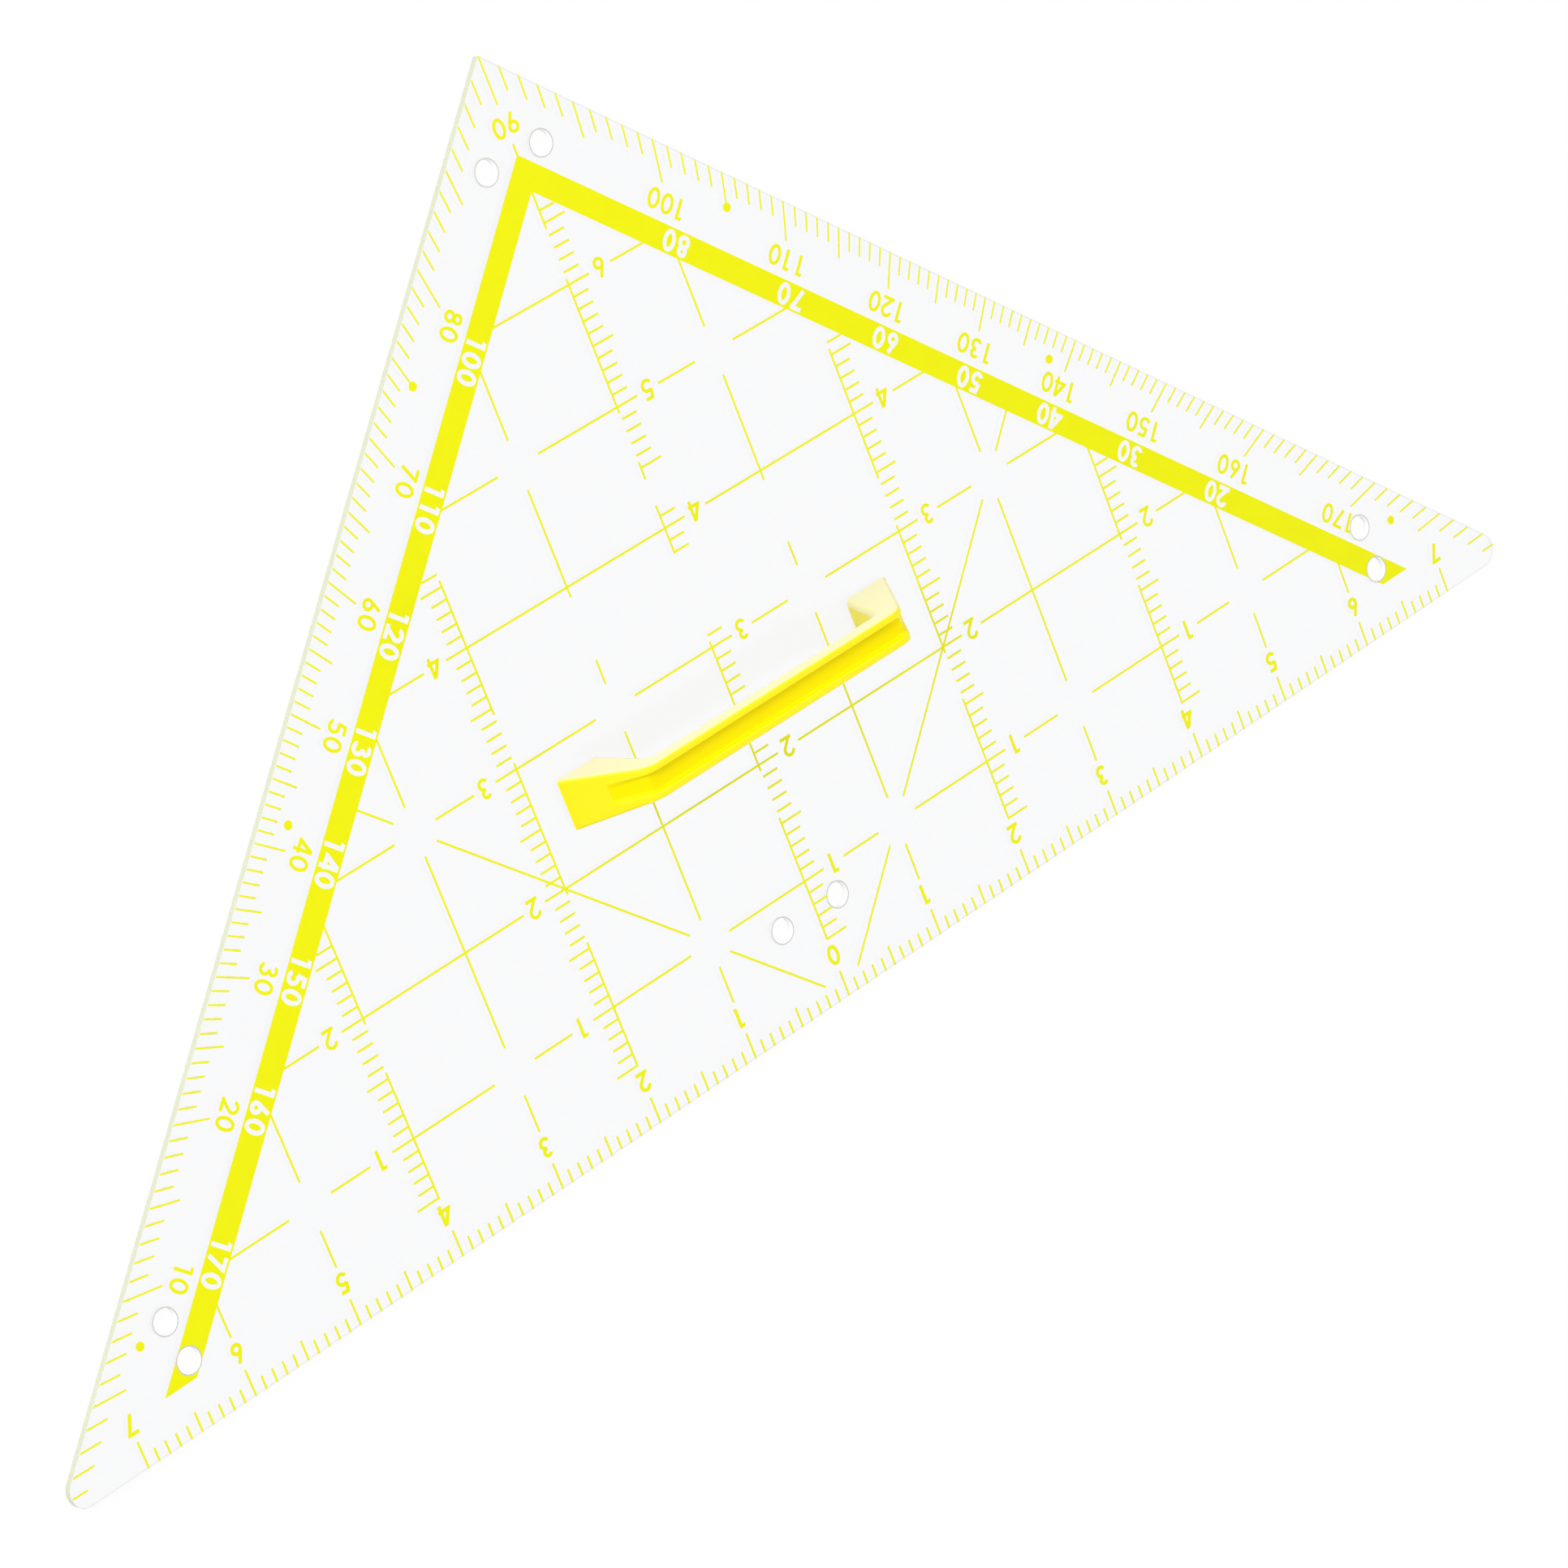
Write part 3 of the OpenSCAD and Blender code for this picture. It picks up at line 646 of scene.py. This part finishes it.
def add_gloss(tree, shader, clean, dull, scale, stretch):
    """Feed a shader's roughness with wipe marks."""
    gloss = group_node(
        tree, wiped_gloss_group(), (-500, 50), Clean=clean, Dull=dull, Scale=scale, Stretch=stretch
    )
    join(tree, gloss, "Roughness", shader, "Roughness")


def add_grain(tree, shader, scale, strength, distance):
    """Feed a shader's normal with a fine grain."""
    grain = group_node(tree, fine_grain_group(), (-700, -300), Scale=scale)
    bump = add_node(tree, "ShaderNodeBump", (-300, -300))
    preset(bump, {"Strength": strength, "Distance": distance})
    join(tree, grain, "Height", bump, "Height")
    join(tree, bump, "Normal", shader, "Normal")


def finish_material(name, colour, tone, gloss, grain, values):
    """A material with a cloudy tone, wipe marks, a fine grain if it has one, and plain shader values."""
    material, tree, shader = new_material(name, colour)
    add_tone(tree, shader, colour, *tone)
    add_gloss(tree, shader, *gloss)
    if grain:
        add_grain(tree, shader, *grain)
    preset(shader, values)
    return material


def clear_sheet_material(settings):
    """Polished clear acrylic, with faint wipe marks."""
    tone, gloss = (6.0, 0.006), (0.0, 0.03, 14.0, (1, 5, 1))
    values = {"Transmission Weight": 1.0, "IOR": 1.49, "Specular Tint": (0.35, 0.35, 0.35, 1)}
    return finish_material("clear_sheet", settings.tint, tone, gloss, None, values)


def frosted_edge_material(name, tint):
    """The frosted skin of the sheet's sawn or drilled edges, and of the grey rings of painted shade round
    the holes.
    """
    tone, gloss, grain = (30.0, 0.05), (0.3, 0.5, 60.0, (1, 1, 8)), (1500.0, 0.15, 0.0002)
    return finish_material(name, tint, tone, gloss, grain, {"Specular IOR Level": 0.3})


def ink_material(settings):
    """Screen-printed ink, a little uneven in tone and half matt."""
    tone, gloss, grain = (90.0, 0.03), (0.4, 0.6, 40.0, (1, 1, 1)), (2500.0, 0.08, 0.0001)
    return finish_material("yellow_ink", settings.colour, tone, gloss, grain, {"Specular IOR Level": 0.15})


def plastic_material(name, colour, clean, dull, grain, values):
    """Moulded plastic of the handle."""
    gloss = (clean, dull, 45.0, (1, 3, 1))
    return finish_material(name, colour, (35.0, 0.02), gloss, grain, {"IOR": 1.5, **values})


def smooth_plastic_material(settings):
    """Smooth moulded plastic of the handle's top, slopes and underside."""
    grain, values = (1200.0, 0.03, 0.0002), {"Specular IOR Level": 0.3}
    return plastic_material("smooth_plastic", settings.colour, 0.16, 0.28, grain, values)


def trough_plastic_material(settings):
    """Half-matt moulded plastic of the trough, out of reach of the polishing hand, in a deeper yellow that
    is painted shade in the recess.
    """
    grain, values = (1800.0, 0.05, 0.0002), {"Specular IOR Level": 0.06}
    return plastic_material("trough_shade_plastic", settings.trough_colour, 0.36, 0.5, grain, values)


def textured_plastic_material(settings):
    """Plastic of the handle's sides and of the edges round the gap, with a fine grain: its paler tone and
    white sheen haze are painted light.
    """
    grain = (2600.0, 0.2, 0.0002)
    values = {"Specular IOR Level": 0.5, "Sheen Weight": 1.0, "Sheen Roughness": 0.9}
    return plastic_material("painted_light_plastic", settings.side_colour, 0.5, 0.65, grain, values)


def metal_material(name, colour, clean, dull, stretch):
    """Plated or turned metal."""
    tone, gloss, grain = (400.0, 0.08), (clean, dull, 500.0, stretch), (3000.0, 0.1, 0.0001)
    return finish_material(name, colour, tone, gloss, grain, {"Metallic": 1.0})


def plate_outline(settings, inset):
    """The sheet's outline, drawn in by an inset, in metres from the zero mark."""
    half, tip, apex = settings.half_length, settings.tip_radius, settings.apex_radius
    reach = half - tip * (1 + ROOT2)
    inset += TRIM
    right = arc((reach, tip), tip - inset, -90, 45, 30)
    top = arc((0, half - apex * ROOT2), apex - inset, 45, 135, 10)
    left = arc((-reach, tip), tip - inset, 135, 270, 30)
    return [(x, y + PLATE_LOW.y) for x, y in right + top + left]


def rounded_steps(radius, height):
    """Insets and heights of a wall with both edges rounded, from the underside up."""
    turns = [math.radians(a) for a in (0, 30, 60, 90)]
    low = [(radius * (1 - math.sin(a)), radius * (1 - math.cos(a))) for a in turns]
    return low + [(inset, height - z) for inset, z in reversed(low)]


def screw_places():
    """Where the two screws stand, from the handle's box and its foot."""
    foot = bpy.context.scene.set_square.handle.foot
    middle = (HANDLE_LOW.y + HANDLE_HIGH.y) / 2
    return [(HANDLE_LOW.x + foot / 2, middle), (HANDLE_HIGH.x - foot / 2, middle)]


class SETSQUARE_OT_plate(bpy.types.Operator):
    """Build the clear sheet with its holes and sawn edges"""

    bl_idname = "set_square.plate"
    bl_label = "Clear sheet"

    def execute(self, context):
        settings = context.scene.set_square.plate
        fixing = context.scene.set_square.fixing
        t = settings.thickness
        steps = rounded_steps(settings.edge_radius, t)
        bm = bmesh.new()
        stacks = self.edge_stacks(bm, settings, steps, SKIN)
        passage = fixing.shank / 2 + fixing.clearance
        mouth = fixing.head / 2 + fixing.clearance
        for place in screw_places():
            rims = [(mouth, 0), (passage, mouth - passage), (passage, t)]
            stacks.append([loop(bm, circle(place, r, 48), z) for r, z in rims])
        for stack in stacks:
            for low, high in zip(stack, stack[1:]):
                wall(bm, low, high)
        cap(bm, [stack[0] for stack in stacks])
        cap(bm, [stack[-1] for stack in stacks])
        piece = object_from(bm, "clear_sheet")
        finish_shading(piece, 40)
        dress(piece, [clear_sheet_material(settings)], ["plate"])
        self.frost_edges(settings, steps[1:-1])
        return {"FINISHED"}

    def frost_edges(self, settings, steps):
        """Lay the frosted skin on the sawn and drilled edges, with a grey ring of painted shade round each
        hole.
        """
        bm = bmesh.new()
        for i, stack in enumerate(self.edge_stacks(bm, settings, steps, 0)):
            for low, high in zip(stack, stack[1:]):
                wall(bm, low, high, min(i, 1))
        # A grey ring of painted shade on the top face round each hole
        for bore in BORES:
            x, y, _ = bore["pos_m"]
            reach = bore["dims"]["r_mm"] * MM
            rims = [circle((x, y), r) for r in (reach, reach + settings.burr)]
            inner, outer = [loop(bm, rim, settings.thickness + RISE) for rim in rims]
            wall(bm, inner, outer, 2)
        skin = object_from(bm, "sawn_edges")
        finish_shading(skin, 40)
        sawn = frosted_edge_material("sawn_edge", settings.edge_tint)
        drilled = frosted_edge_material("drilled_edge", settings.hole_tint)
        burr = frosted_edge_material("drilled_shade_ring", settings.burr_tint)
        dress(skin, [sawn, drilled, burr], ["plate"])

    def edge_stacks(self, bm, settings, steps, inset):
        """Loops up the sheet's outer edge and up each hole, drawn into the sheet by an inset."""
        stacks = [[loop(bm, plate_outline(settings, inset + more), z) for more, z in steps]]
        for bore in BORES:
            x, y, _ = bore["pos_m"]
            radius = bore["dims"]["r_mm"] * MM + inset
            stacks.append([loop(bm, circle((x, y), radius + more), z) for more, z in steps])
        return stacks


class SETSQUARE_OT_print(bpy.types.Operator):
    """Print the scales, numerals and band"""

    bl_idname = "set_square.print"
    bl_label = "Printed scale"

    def execute(self, context):
        settings = context.scene.set_square.print
        ink = ink_material(settings)
        for name in STRAIGHT_PRINT:
            solid = frame["nodes"][name]
            solid.data.materials.clear()
            solid.data.materials.append(ink)
        for name, (tagged, wanted) in self.curved_print(context).items():
            base = context.scene.set_square.plate.thickness
            if name == "degree_dots":
                base += RISE
            piece = film_piece("print_" + name, tagged + hole_outlines(), wanted, base, settings.film)
            dress(piece, [ink], [name])
        return {"FINISHED"}

    def curved_print(self, context):
        """Tagged outlines of each curved part of the print, by node, with the rule that inks it."""
        settings = context.scene.set_square.print
        half = in_mm(context.scene.set_square.plate.half_length)
        h, s = in_mm(settings.numeral_height), in_mm(settings.numeral_stroke)
        step = in_mm(settings.step)
        depth, width = in_mm(settings.band_depth), in_mm(settings.band_width)
        outer, inner = half - depth * ROOT2, half - (depth + width) * ROOT2
        parts = {}

        def leg_number(side, angle, value):
            place = leg_point(half, side, angle, LEG_NUMERAL_DEPTH)
            return number(value, h, s, FIGURE_PITCH, LABEL_TURN - side * LEG_TURN, place)

        def band_number(side, angle, value):
            sizes = (BAND_NUMERAL_HEIGHT, BAND_NUMERAL_STROKE, BAND_FIGURE_PITCH)
            place = leg_point(half, side, angle, BAND_NUMERAL_DEPTH)
            return number(value, *sizes, LABEL_TURN - side * LEG_TURN, place)

        edge = []
        edge_stroke = in_mm(settings.edge_stroke)
        for i in range(-7, 8):
            place = (i * step, EDGE_NUMERAL_RISE)
            edge += number(abs(i), h, edge_stroke, FIGURE_PITCH, LABEL_TURN, place)
        parts["edge_numerals"] = (edge, plain_ink)
        left = [p for a in LEG_LABELS for p in leg_number(-1, a, a)]
        right = [p for a in LEG_LABELS for p in leg_number(1, a, 180 - a)]
        parts["left_degree_numerals"] = (left, plain_ink)
        parts["right_degree_numerals"] = (right, plain_ink)
        columns = []
        for i in range(-2, 3):
            shift = -COLUMN_NUMERAL_SHIFT if i < 0 else COLUMN_NUMERAL_SHIFT
            for k in range(1, 7):
                if abs(i) * 2 * step + COLUMN_END_ROOM + k * step < inner:
                    place = (i * 2 * step + shift, k * step)
                    columns += number(k, h, s, FIGURE_PITCH, LABEL_TURN, place)
        parts["column_numerals"] = (columns, plain_ink)
        places = [leg_point(half, k, a, DOT_DEPTH) for a in DOT_ANGLES for k in (-1, 1)]
        dots = [("ink", circle(place, DOT_RADIUS, 40)) for place in places]
        parts["degree_dots"] = (dots, plain_ink)
        tick = (half - APEX_TICK_END * ROOT2, half - APEX_TICK_START * ROOT2)
        mark = [("ink", self.apex_bar(APEX_TICK_WIDTH, *tick))]
        mark += number(90, h, s, FIGURE_PITCH, LABEL_TURN, (0, half - LEG_NUMERAL_DEPTH * ROOT2 + s))
        line = (outer - APEX_LINE_OVERLAP, outer + APEX_LINE_LENGTH)
        mark += [("ink", self.apex_bar(APEX_LINE_WIDTH, *line))]
        parts["apex_mark"] = (mark, plain_ink)
        end = BAND_END_RISE
        points = [(end - outer, end), (end - inner, end), (0, inner)]
        points += [(inner - end, end), (outer - end, end), (0, outer)]
        band = [("band", points)]
        band += [p for a in LEG_LABELS for p in band_number(-1, a, 180 - a)]
        band += [p for a in RIGHT_BAND_LABELS for p in band_number(1, a, a)]
        parts["angle_band"] = (band, band_ink)
        return parts

    def apex_bar(self, width, low, high):
        """An upright bar on the line through the square corner."""
        return rectangle(-width / 2, low, width / 2, high)


def half_path(foot, corner, radius, rises, turns, runs):
    """Half of a side-view path with outward normals: up the rake, round the bend and along to the middle."""
    rake = (corner - foot).normalized()
    normal = Vector((rake.y, -rake.x))
    start = math.atan2(normal.y, normal.x)
    tangent = radius * math.tan((math.pi / 2 - start) / 2)
    straight = (corner - foot).length - tangent
    path = [(foot + rake * straight * f, normal) for f in rises]
    middle = foot + rake * straight - normal * radius
    for i in range(1, turns + 1):
        angle = start + (math.pi / 2 - start) * i / turns
        out = Vector((math.cos(angle), math.sin(angle)))
        path.append((middle + out * radius, out))
    for f in runs:
        path.append((Vector(((corner.x - tangent) * (1 - f), corner.y)), Vector((0, 1))))
    return path


def mirrored_path(path):
    """The whole path from a half that ends in the middle."""
    other = [(Vector((-p.x, p.y)), Vector((-n.x, n.y))) for p, n in reversed(path[:-1])]
    return path + other


class SETSQUARE_OT_handle(bpy.types.Operator):
    """Build the moulded handle"""

    bl_idname = "set_square.handle"
    bl_label = "Handle"

    def execute(self, context):
        settings = context.scene.set_square.handle
        fixing = context.scene.set_square.fixing
        base = HANDLE_LOW.z
        middle = (HANDLE_LOW.y + HANDLE_HIGH.y) / 2
        bm = bmesh.new()
        rings = []
        for section in self.sections(settings):
            rings.append([bm.verts.new((x, middle + y, base + z)) for x, y, z in section])
        half_rim = len(RIM_TURNS) // 2
        groove = len(self.groove(settings, 0))
        across = len(RIM_TURNS) * 2 + groove - 1 - half_rim
        full_rim = len(RIM_TURNS) - 1
        far_side = slice(across, across + half_rim + 2 + full_rim)
        trough = slice(len(RIM_TURNS) + LIP_FACES, len(RIM_TURNS) + groove - 1 - LIP_FACES)
        # The sides and gap edges get a paler, sheen-hazed plastic as painted light; the trough a deeper
        # yellow as painted shade
        for first, second in zip(rings, rings[1:]):
            strip = wall(bm, first, second)
            for face in strip[:half_rim] + strip[far_side] + strip[-2 - full_rim :]:
                face.material_index = 1
            # Faces in the trough take the deeper yellow of painted shade
            if max(abs(v.co.x) for v in first + second) <= settings.trough_length / 2 + NEAR:
                for face in strip[trough]:
                    face.material_index = 2
        pocket = fixing.insert / 2
        bore = fixing.shank / 2 + fixing.clearance
        for ring, place in zip((rings[-1], rings[0]), screw_places()):
            rims = [(pocket, 0), (pocket, POCKET_DEPTH), (bore, POCKET_DEPTH), (bore, SCREW_END_DEPTH)]
            stack = [loop(bm, circle(place, r, 40), base + z) for r, z in rims]
            for low, high in zip(stack, stack[1:]):
                wall(bm, low, high)
            cap(bm, [ring, stack[0]])
            cap(bm, [stack[-1]])
        piece = object_from(bm, "handle_moulding")
        finish_shading(piece, 50)
        finishes = [smooth_plastic_material, textured_plastic_material, trough_plastic_material]
        dress(piece, [finish(settings) for finish in finishes], ["handle"])
        return {"FINISHED"}

    def sections(self, settings):
        """Closed sections along the handle, from the right foot over the bar to the left foot."""
        foot = HANDLE_HIGH.x
        height = HANDLE_HIGH.z - HANDLE_LOW.z
        base_width = HANDLE_HIGH.y - HANDLE_LOW.y
        corner = Vector((settings.top_length / 2, height))
        rake_length = (corner - Vector((foot, 0))).length
        tangent = settings.bend * math.tan((math.pi / 2 - math.atan2(foot - corner.x, height)) / 2)
        start = (foot - settings.trough_length / 2) / (foot - corner.x)
        start = start * rake_length / (rake_length - tangent)
        # Shares of the slope and of the bar at which sections stand, closer where the trough starts
        rises = [0, 0.15, 0.3, start - 0.05, start - 0.008, start, start + 0.05, start + 0.15, 0.85, 1]
        runs = [0.02, 0.3, 0.65, 1]
        outer = half_path(Vector((foot, 0)), corner, settings.bend, rises, 16, runs)
        gap_corner = Vector((settings.gap_length / 2, height - settings.bar))
        inner = half_path(Vector((foot - settings.foot, 0)), gap_corner, settings.gap_bend, rises, 16, runs)
        depths = [self.trough_depth(settings, top, normal) for top, normal in outer]
        depths += list(reversed(depths[:-1]))

        def half_width(z):
            return (base_width - (base_width - settings.top_width) * z / height) / 2

        sections = []
        for (top, normal), (under, _), depth in zip(mirrored_path(outer), mirrored_path(inner), depths):
            down = (under - top).normalized()
            rim = self.rounding(top, down, settings.rim)
            low_rim = self.rounding(under, -down, settings.gap_rim)
            waist = (top + under) / 2
            section = [(p, half_width(p.y) - inset) for p, inset in rim]
            section += [(top - normal * low, y) for y, low in self.groove(settings, depth)]
            section += [(p, inset - half_width(p.y)) for p, inset in reversed(rim)]
            section.append((waist, -half_width(waist.y)))
            section += [(p, inset - half_width(p.y)) for p, inset in low_rim]
            section += [(p, half_width(p.y) - inset) for p, inset in reversed(low_rim)]
            section.append((waist, half_width(waist.y)))
            sections.append([(p.x, y, p.y) for p, y in section])
        return sections

    def rounding(self, edge, inward, r):
        """Places along a rounded long edge, from the side to the face, and how far each is set in."""
        return [(edge + inward * r * (1 - math.sin(a)), r * (1 - math.cos(a))) for a in RIM_TURNS]

    def trough_depth(self, settings, top, normal):
        """Depth of the trough square to the top: a level floor that falls to the slope and ends there."""
        foot = HANDLE_HIGH.x
        height = HANDLE_HIGH.z - HANDLE_LOW.z
        half = settings.trough_length / 2
        end = Vector((half, (foot - half) / (foot - settings.top_length / 2) * height))
        level = height - settings.trough_depth
        rake = Vector((height, foot - settings.top_length / 2)).normalized()
        end -= rake * settings.trough_step
        ramp = Vector((settings.floor_length / 2, level)) - end
        out = Vector((ramp.y, -ramp.x))
        on_ramp = (top - end).dot(out) / normal.dot(out)
        on_floor = (top.y - level) / normal.y
        blend = settings.trough_blend
        shared = max(0, blend - abs(on_ramp - on_floor))
        started = top.x <= half + NEAR
        return max(on_ramp, on_floor) + shared * shared / (4 * blend) if started else 0

    def groove(self, settings, depth):
        """Places across the top and depths under it, at a depth of the trough."""
        half, full = settings.trough_width / 2, settings.trough_depth
        share = depth / full
        lip, fillet = TROUGH_LIP, TROUGH_FILLET
        turns = [math.radians(a) for a in (0, 30, 60, 90)]
        side = [(half + lip * (0.5 - math.sin(a)), lip * (1 - math.cos(a))) for a in turns]
        low = half - lip / 2 - (TROUGH_LEAN + TROUGH_END_LEAN * max(0, 1 - share))
        side += [(low - fillet * (1 - math.cos(a)), full - fillet * (1 - math.sin(a))) for a in turns]
        side.append((half * 0.4, full))
        near = [(y, z * share) for y, z in side]
        return near + [(-y, z) for y, z in reversed(near)]


class SETSQUARE_OT_fixings(bpy.types.Operator):
    """Build the screws and finish the inserts"""

    bl_idname = "set_square.fixings"
    bl_label = "Screws and inserts"

    def execute(self, context):
        settings = context.scene.set_square.fixing
        head, shank = settings.head / 2, settings.shank / 2
        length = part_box("handle_screws")[1].z
        bm = bmesh.new()
        lip = SCREW_LIP
        for x, y in screw_places():
            rims = [(head - lip, 0), (head, lip), (shank, head - shank + lip), (shank, length - lip)]
            rims.append((shank - lip, length))
            stack = [loop(bm, circle((x, y), r, 48), z) for r, z in rims]
            for low, high in zip(stack, stack[1:]):
                wall(bm, low, high)
            cap(bm, [stack[-1]])
            wide = loop(bm, self.cross((x, y), *RECESS_MOUTH), 0)
            deep = loop(bm, self.cross((x, y), *RECESS_FLOOR), RECESS_DEPTH)
            wall(bm, wide, deep)
            cap(bm, [stack[0], wide])
            cap(bm, [deep])
        piece = object_from(bm, "handle_screws_fine")
        finish_shading(piece, 40)
        steel = metal_material("screw_steel", settings.steel, 0.18, 0.35, (1, 1, 1))
        dress(piece, [steel], ["handle_screws"])
        inserts = frame["nodes"]["threaded_inserts"]
        inserts.data.materials.clear()
        inserts.data.materials.append(metal_material("insert_brass", settings.brass, 0.22, 0.4, (1, 1, 6)))
        return {"FINISHED"}

    def cross(self, place, reach, arm):
        """Outline of a cross recess."""
        points = [(reach, -arm), (reach, arm), (arm, arm), (arm, reach), (-arm, reach), (-arm, arm)]
        points += [(-x, -y) for x, y in points]
        return [(place[0] + x, place[1] + y) for x, y in points]


class SETSQUARE_OT_stage(bpy.types.Operator):
    """Set up the floor, the studio light and the camera"""

    bl_idname = "set_square.stage"
    bl_label = "Stage"

    def execute(self, context):
        settings = context.scene.set_square.stage
        context.scene.view_settings.view_transform = "Standard"
        self.make_floor(settings)
        self.make_room(context, settings)
        for values in LAMPS:
            self.make_lamp(*values)
        camera = bpy.data.objects.new("camera", bpy.data.cameras.new("camera"))
        context.scene.collection.objects.link(camera)
        camera.location = settings.camera_place
        camera.rotation_euler = settings.camera_turn
        camera.data.sensor_width = 36
        camera.data.lens = settings.lens
        camera.data.clip_end = 50
        context.scene.camera = camera
        return {"FINISHED"}

    def make_floor(self, settings):
        """A wide pale floor just under the sheet."""
        bm = bmesh.new()
        cap(bm, [loop(bm, circle((0, 0), FLOOR_RADIUS, 96), -FLOOR_DROP)])
        floor = object_from(bm, "floor")
        material, tree, shader = new_material("pale_floor", FLOOR_COLOUR)
        preset(shader, {"Base Color": (*FLOOR_COLOUR, 1), "Roughness": 0.9})
        white = add_node(tree, "ShaderNodeEmission", (0, -200))
        share = self.seen_share(tree, settings.floor_share)
        mix = add_node(tree, "ShaderNodeMixShader", (300, 0))
        output = tree.nodes["Material Output"]
        output.location = (520, 0)
        tree.links.new(share, mix.inputs["Fac"])
        join(tree, shader, 0, mix, 1)
        join(tree, white, 0, mix, 2)
        join(tree, mix, 0, output, "Surface")
        floor.data.materials.append(material)

    def seen_share(self, tree, share):
        """Share of plain white for rays that come from the eye, a reflection or the clear sheet."""
        rays = add_node(tree, "ShaderNodeLightPath", (-900, -300))
        first = add_node(tree, "ShaderNodeMath", (-650, -250), operation="MAXIMUM")
        second = add_node(tree, "ShaderNodeMath", (-450, -250), operation="MAXIMUM")
        part = add_node(tree, "ShaderNodeMath", (-250, -250), operation="MULTIPLY")
        preset(part, {1: share})
        join(tree, rays, "Is Camera Ray", first, 0)
        join(tree, rays, "Is Glossy Ray", first, 1)
        join(tree, first, 0, second, 0)
        join(tree, rays, "Is Transmission Ray", second, 1)
        join(tree, second, 0, part, 0)
        return part.outputs[0]

    def make_room(self, context, settings):
        """Even light from all round."""
        world = bpy.data.worlds.new("room")
        context.scene.world = world
        world.use_nodes = True
        tree = world.node_tree
        light = tree.nodes["Background"]
        preset(light, {"Color": (*ROOM_COLOUR, 1), "Strength": settings.room_light})
        white = add_node(tree, "ShaderNodeBackground", (0, -200))
        preset(white, {"Color": (1, 1, 1, 1), "Strength": 1.0})
        mix = add_node(tree, "ShaderNodeMixShader", (300, 0))
        tree.links.new(self.seen_share(tree, 1.0), mix.inputs["Fac"])
        join(tree, light, 0, mix, 1)
        join(tree, white, 0, mix, 2)
        tree.links.new(mix.outputs[0], tree.nodes["World Output"].inputs["Surface"])

    def spared_sheet(self):
        """The clear sheet, in which no lamp is mirrored."""
        spared = bpy.data.collections.get("spared_sheet")
        if not spared:
            spared = bpy.data.collections.new("spared_sheet")
            spared.objects.link(bpy.data.objects["clear_sheet"])
            spared.collection_objects[0].light_linking.link_state = "EXCLUDE"
        return spared

    def make_lamp(self, name, place, size, power, mirrored):
        """A square soft lamp that faces the handle."""
        data = bpy.data.lights.new(name, "AREA")
        data.size = size
        data.energy = power
        lamp = bpy.data.objects.new(name, data)
        bpy.context.scene.collection.objects.link(lamp)
        lamp.location = place
        lamp.visible_glossy = mirrored
        lamp.light_linking.receiver_collection = self.spared_sheet()
        towards = (HANDLE_LOW + HANDLE_HIGH) / 2 - Vector(place)
        lamp.rotation_euler = towards.to_track_quat("-Z", "Y").to_euler()


class SETSQUARE_PT_panel(bpy.types.Panel):
    """Lists the set square's pieces"""

    bl_idname = "SETSQUARE_PT_panel"
    bl_label = "Set square"
    bl_space_type = "VIEW_3D"
    bl_region_type = "UI"
    bl_category = "Set square"

    def draw(self, context):
        for operator in OPERATORS:
            self.layout.operator(operator.bl_idname)


OPERATORS = (
    SETSQUARE_OT_plate,
    SETSQUARE_OT_print,
    SETSQUARE_OT_handle,
    SETSQUARE_OT_fixings,
    SETSQUARE_OT_stage,
)
SETTINGS = (PlateSettings, PrintSettings, HandleSettings, FixingSettings, StageSettings, SetSquareSettings)
CLASSES = SETTINGS + OPERATORS + (SETSQUARE_PT_panel,)


def register():
    for item in CLASSES:
        bpy.utils.register_class(item)
    bpy.types.Scene.set_square = bpy.props.PointerProperty(type=SetSquareSettings)


def unregister():
    del bpy.types.Scene.set_square
    for item in reversed(CLASSES):
        bpy.utils.unregister_class(item)


def main():
    register()
    bpy.ops.set_square.plate()
    bpy.ops.set_square.print()
    bpy.ops.set_square.handle()
    bpy.ops.set_square.fixings()
    bpy.ops.set_square.stage()


if __name__ == "__main__":
    main()
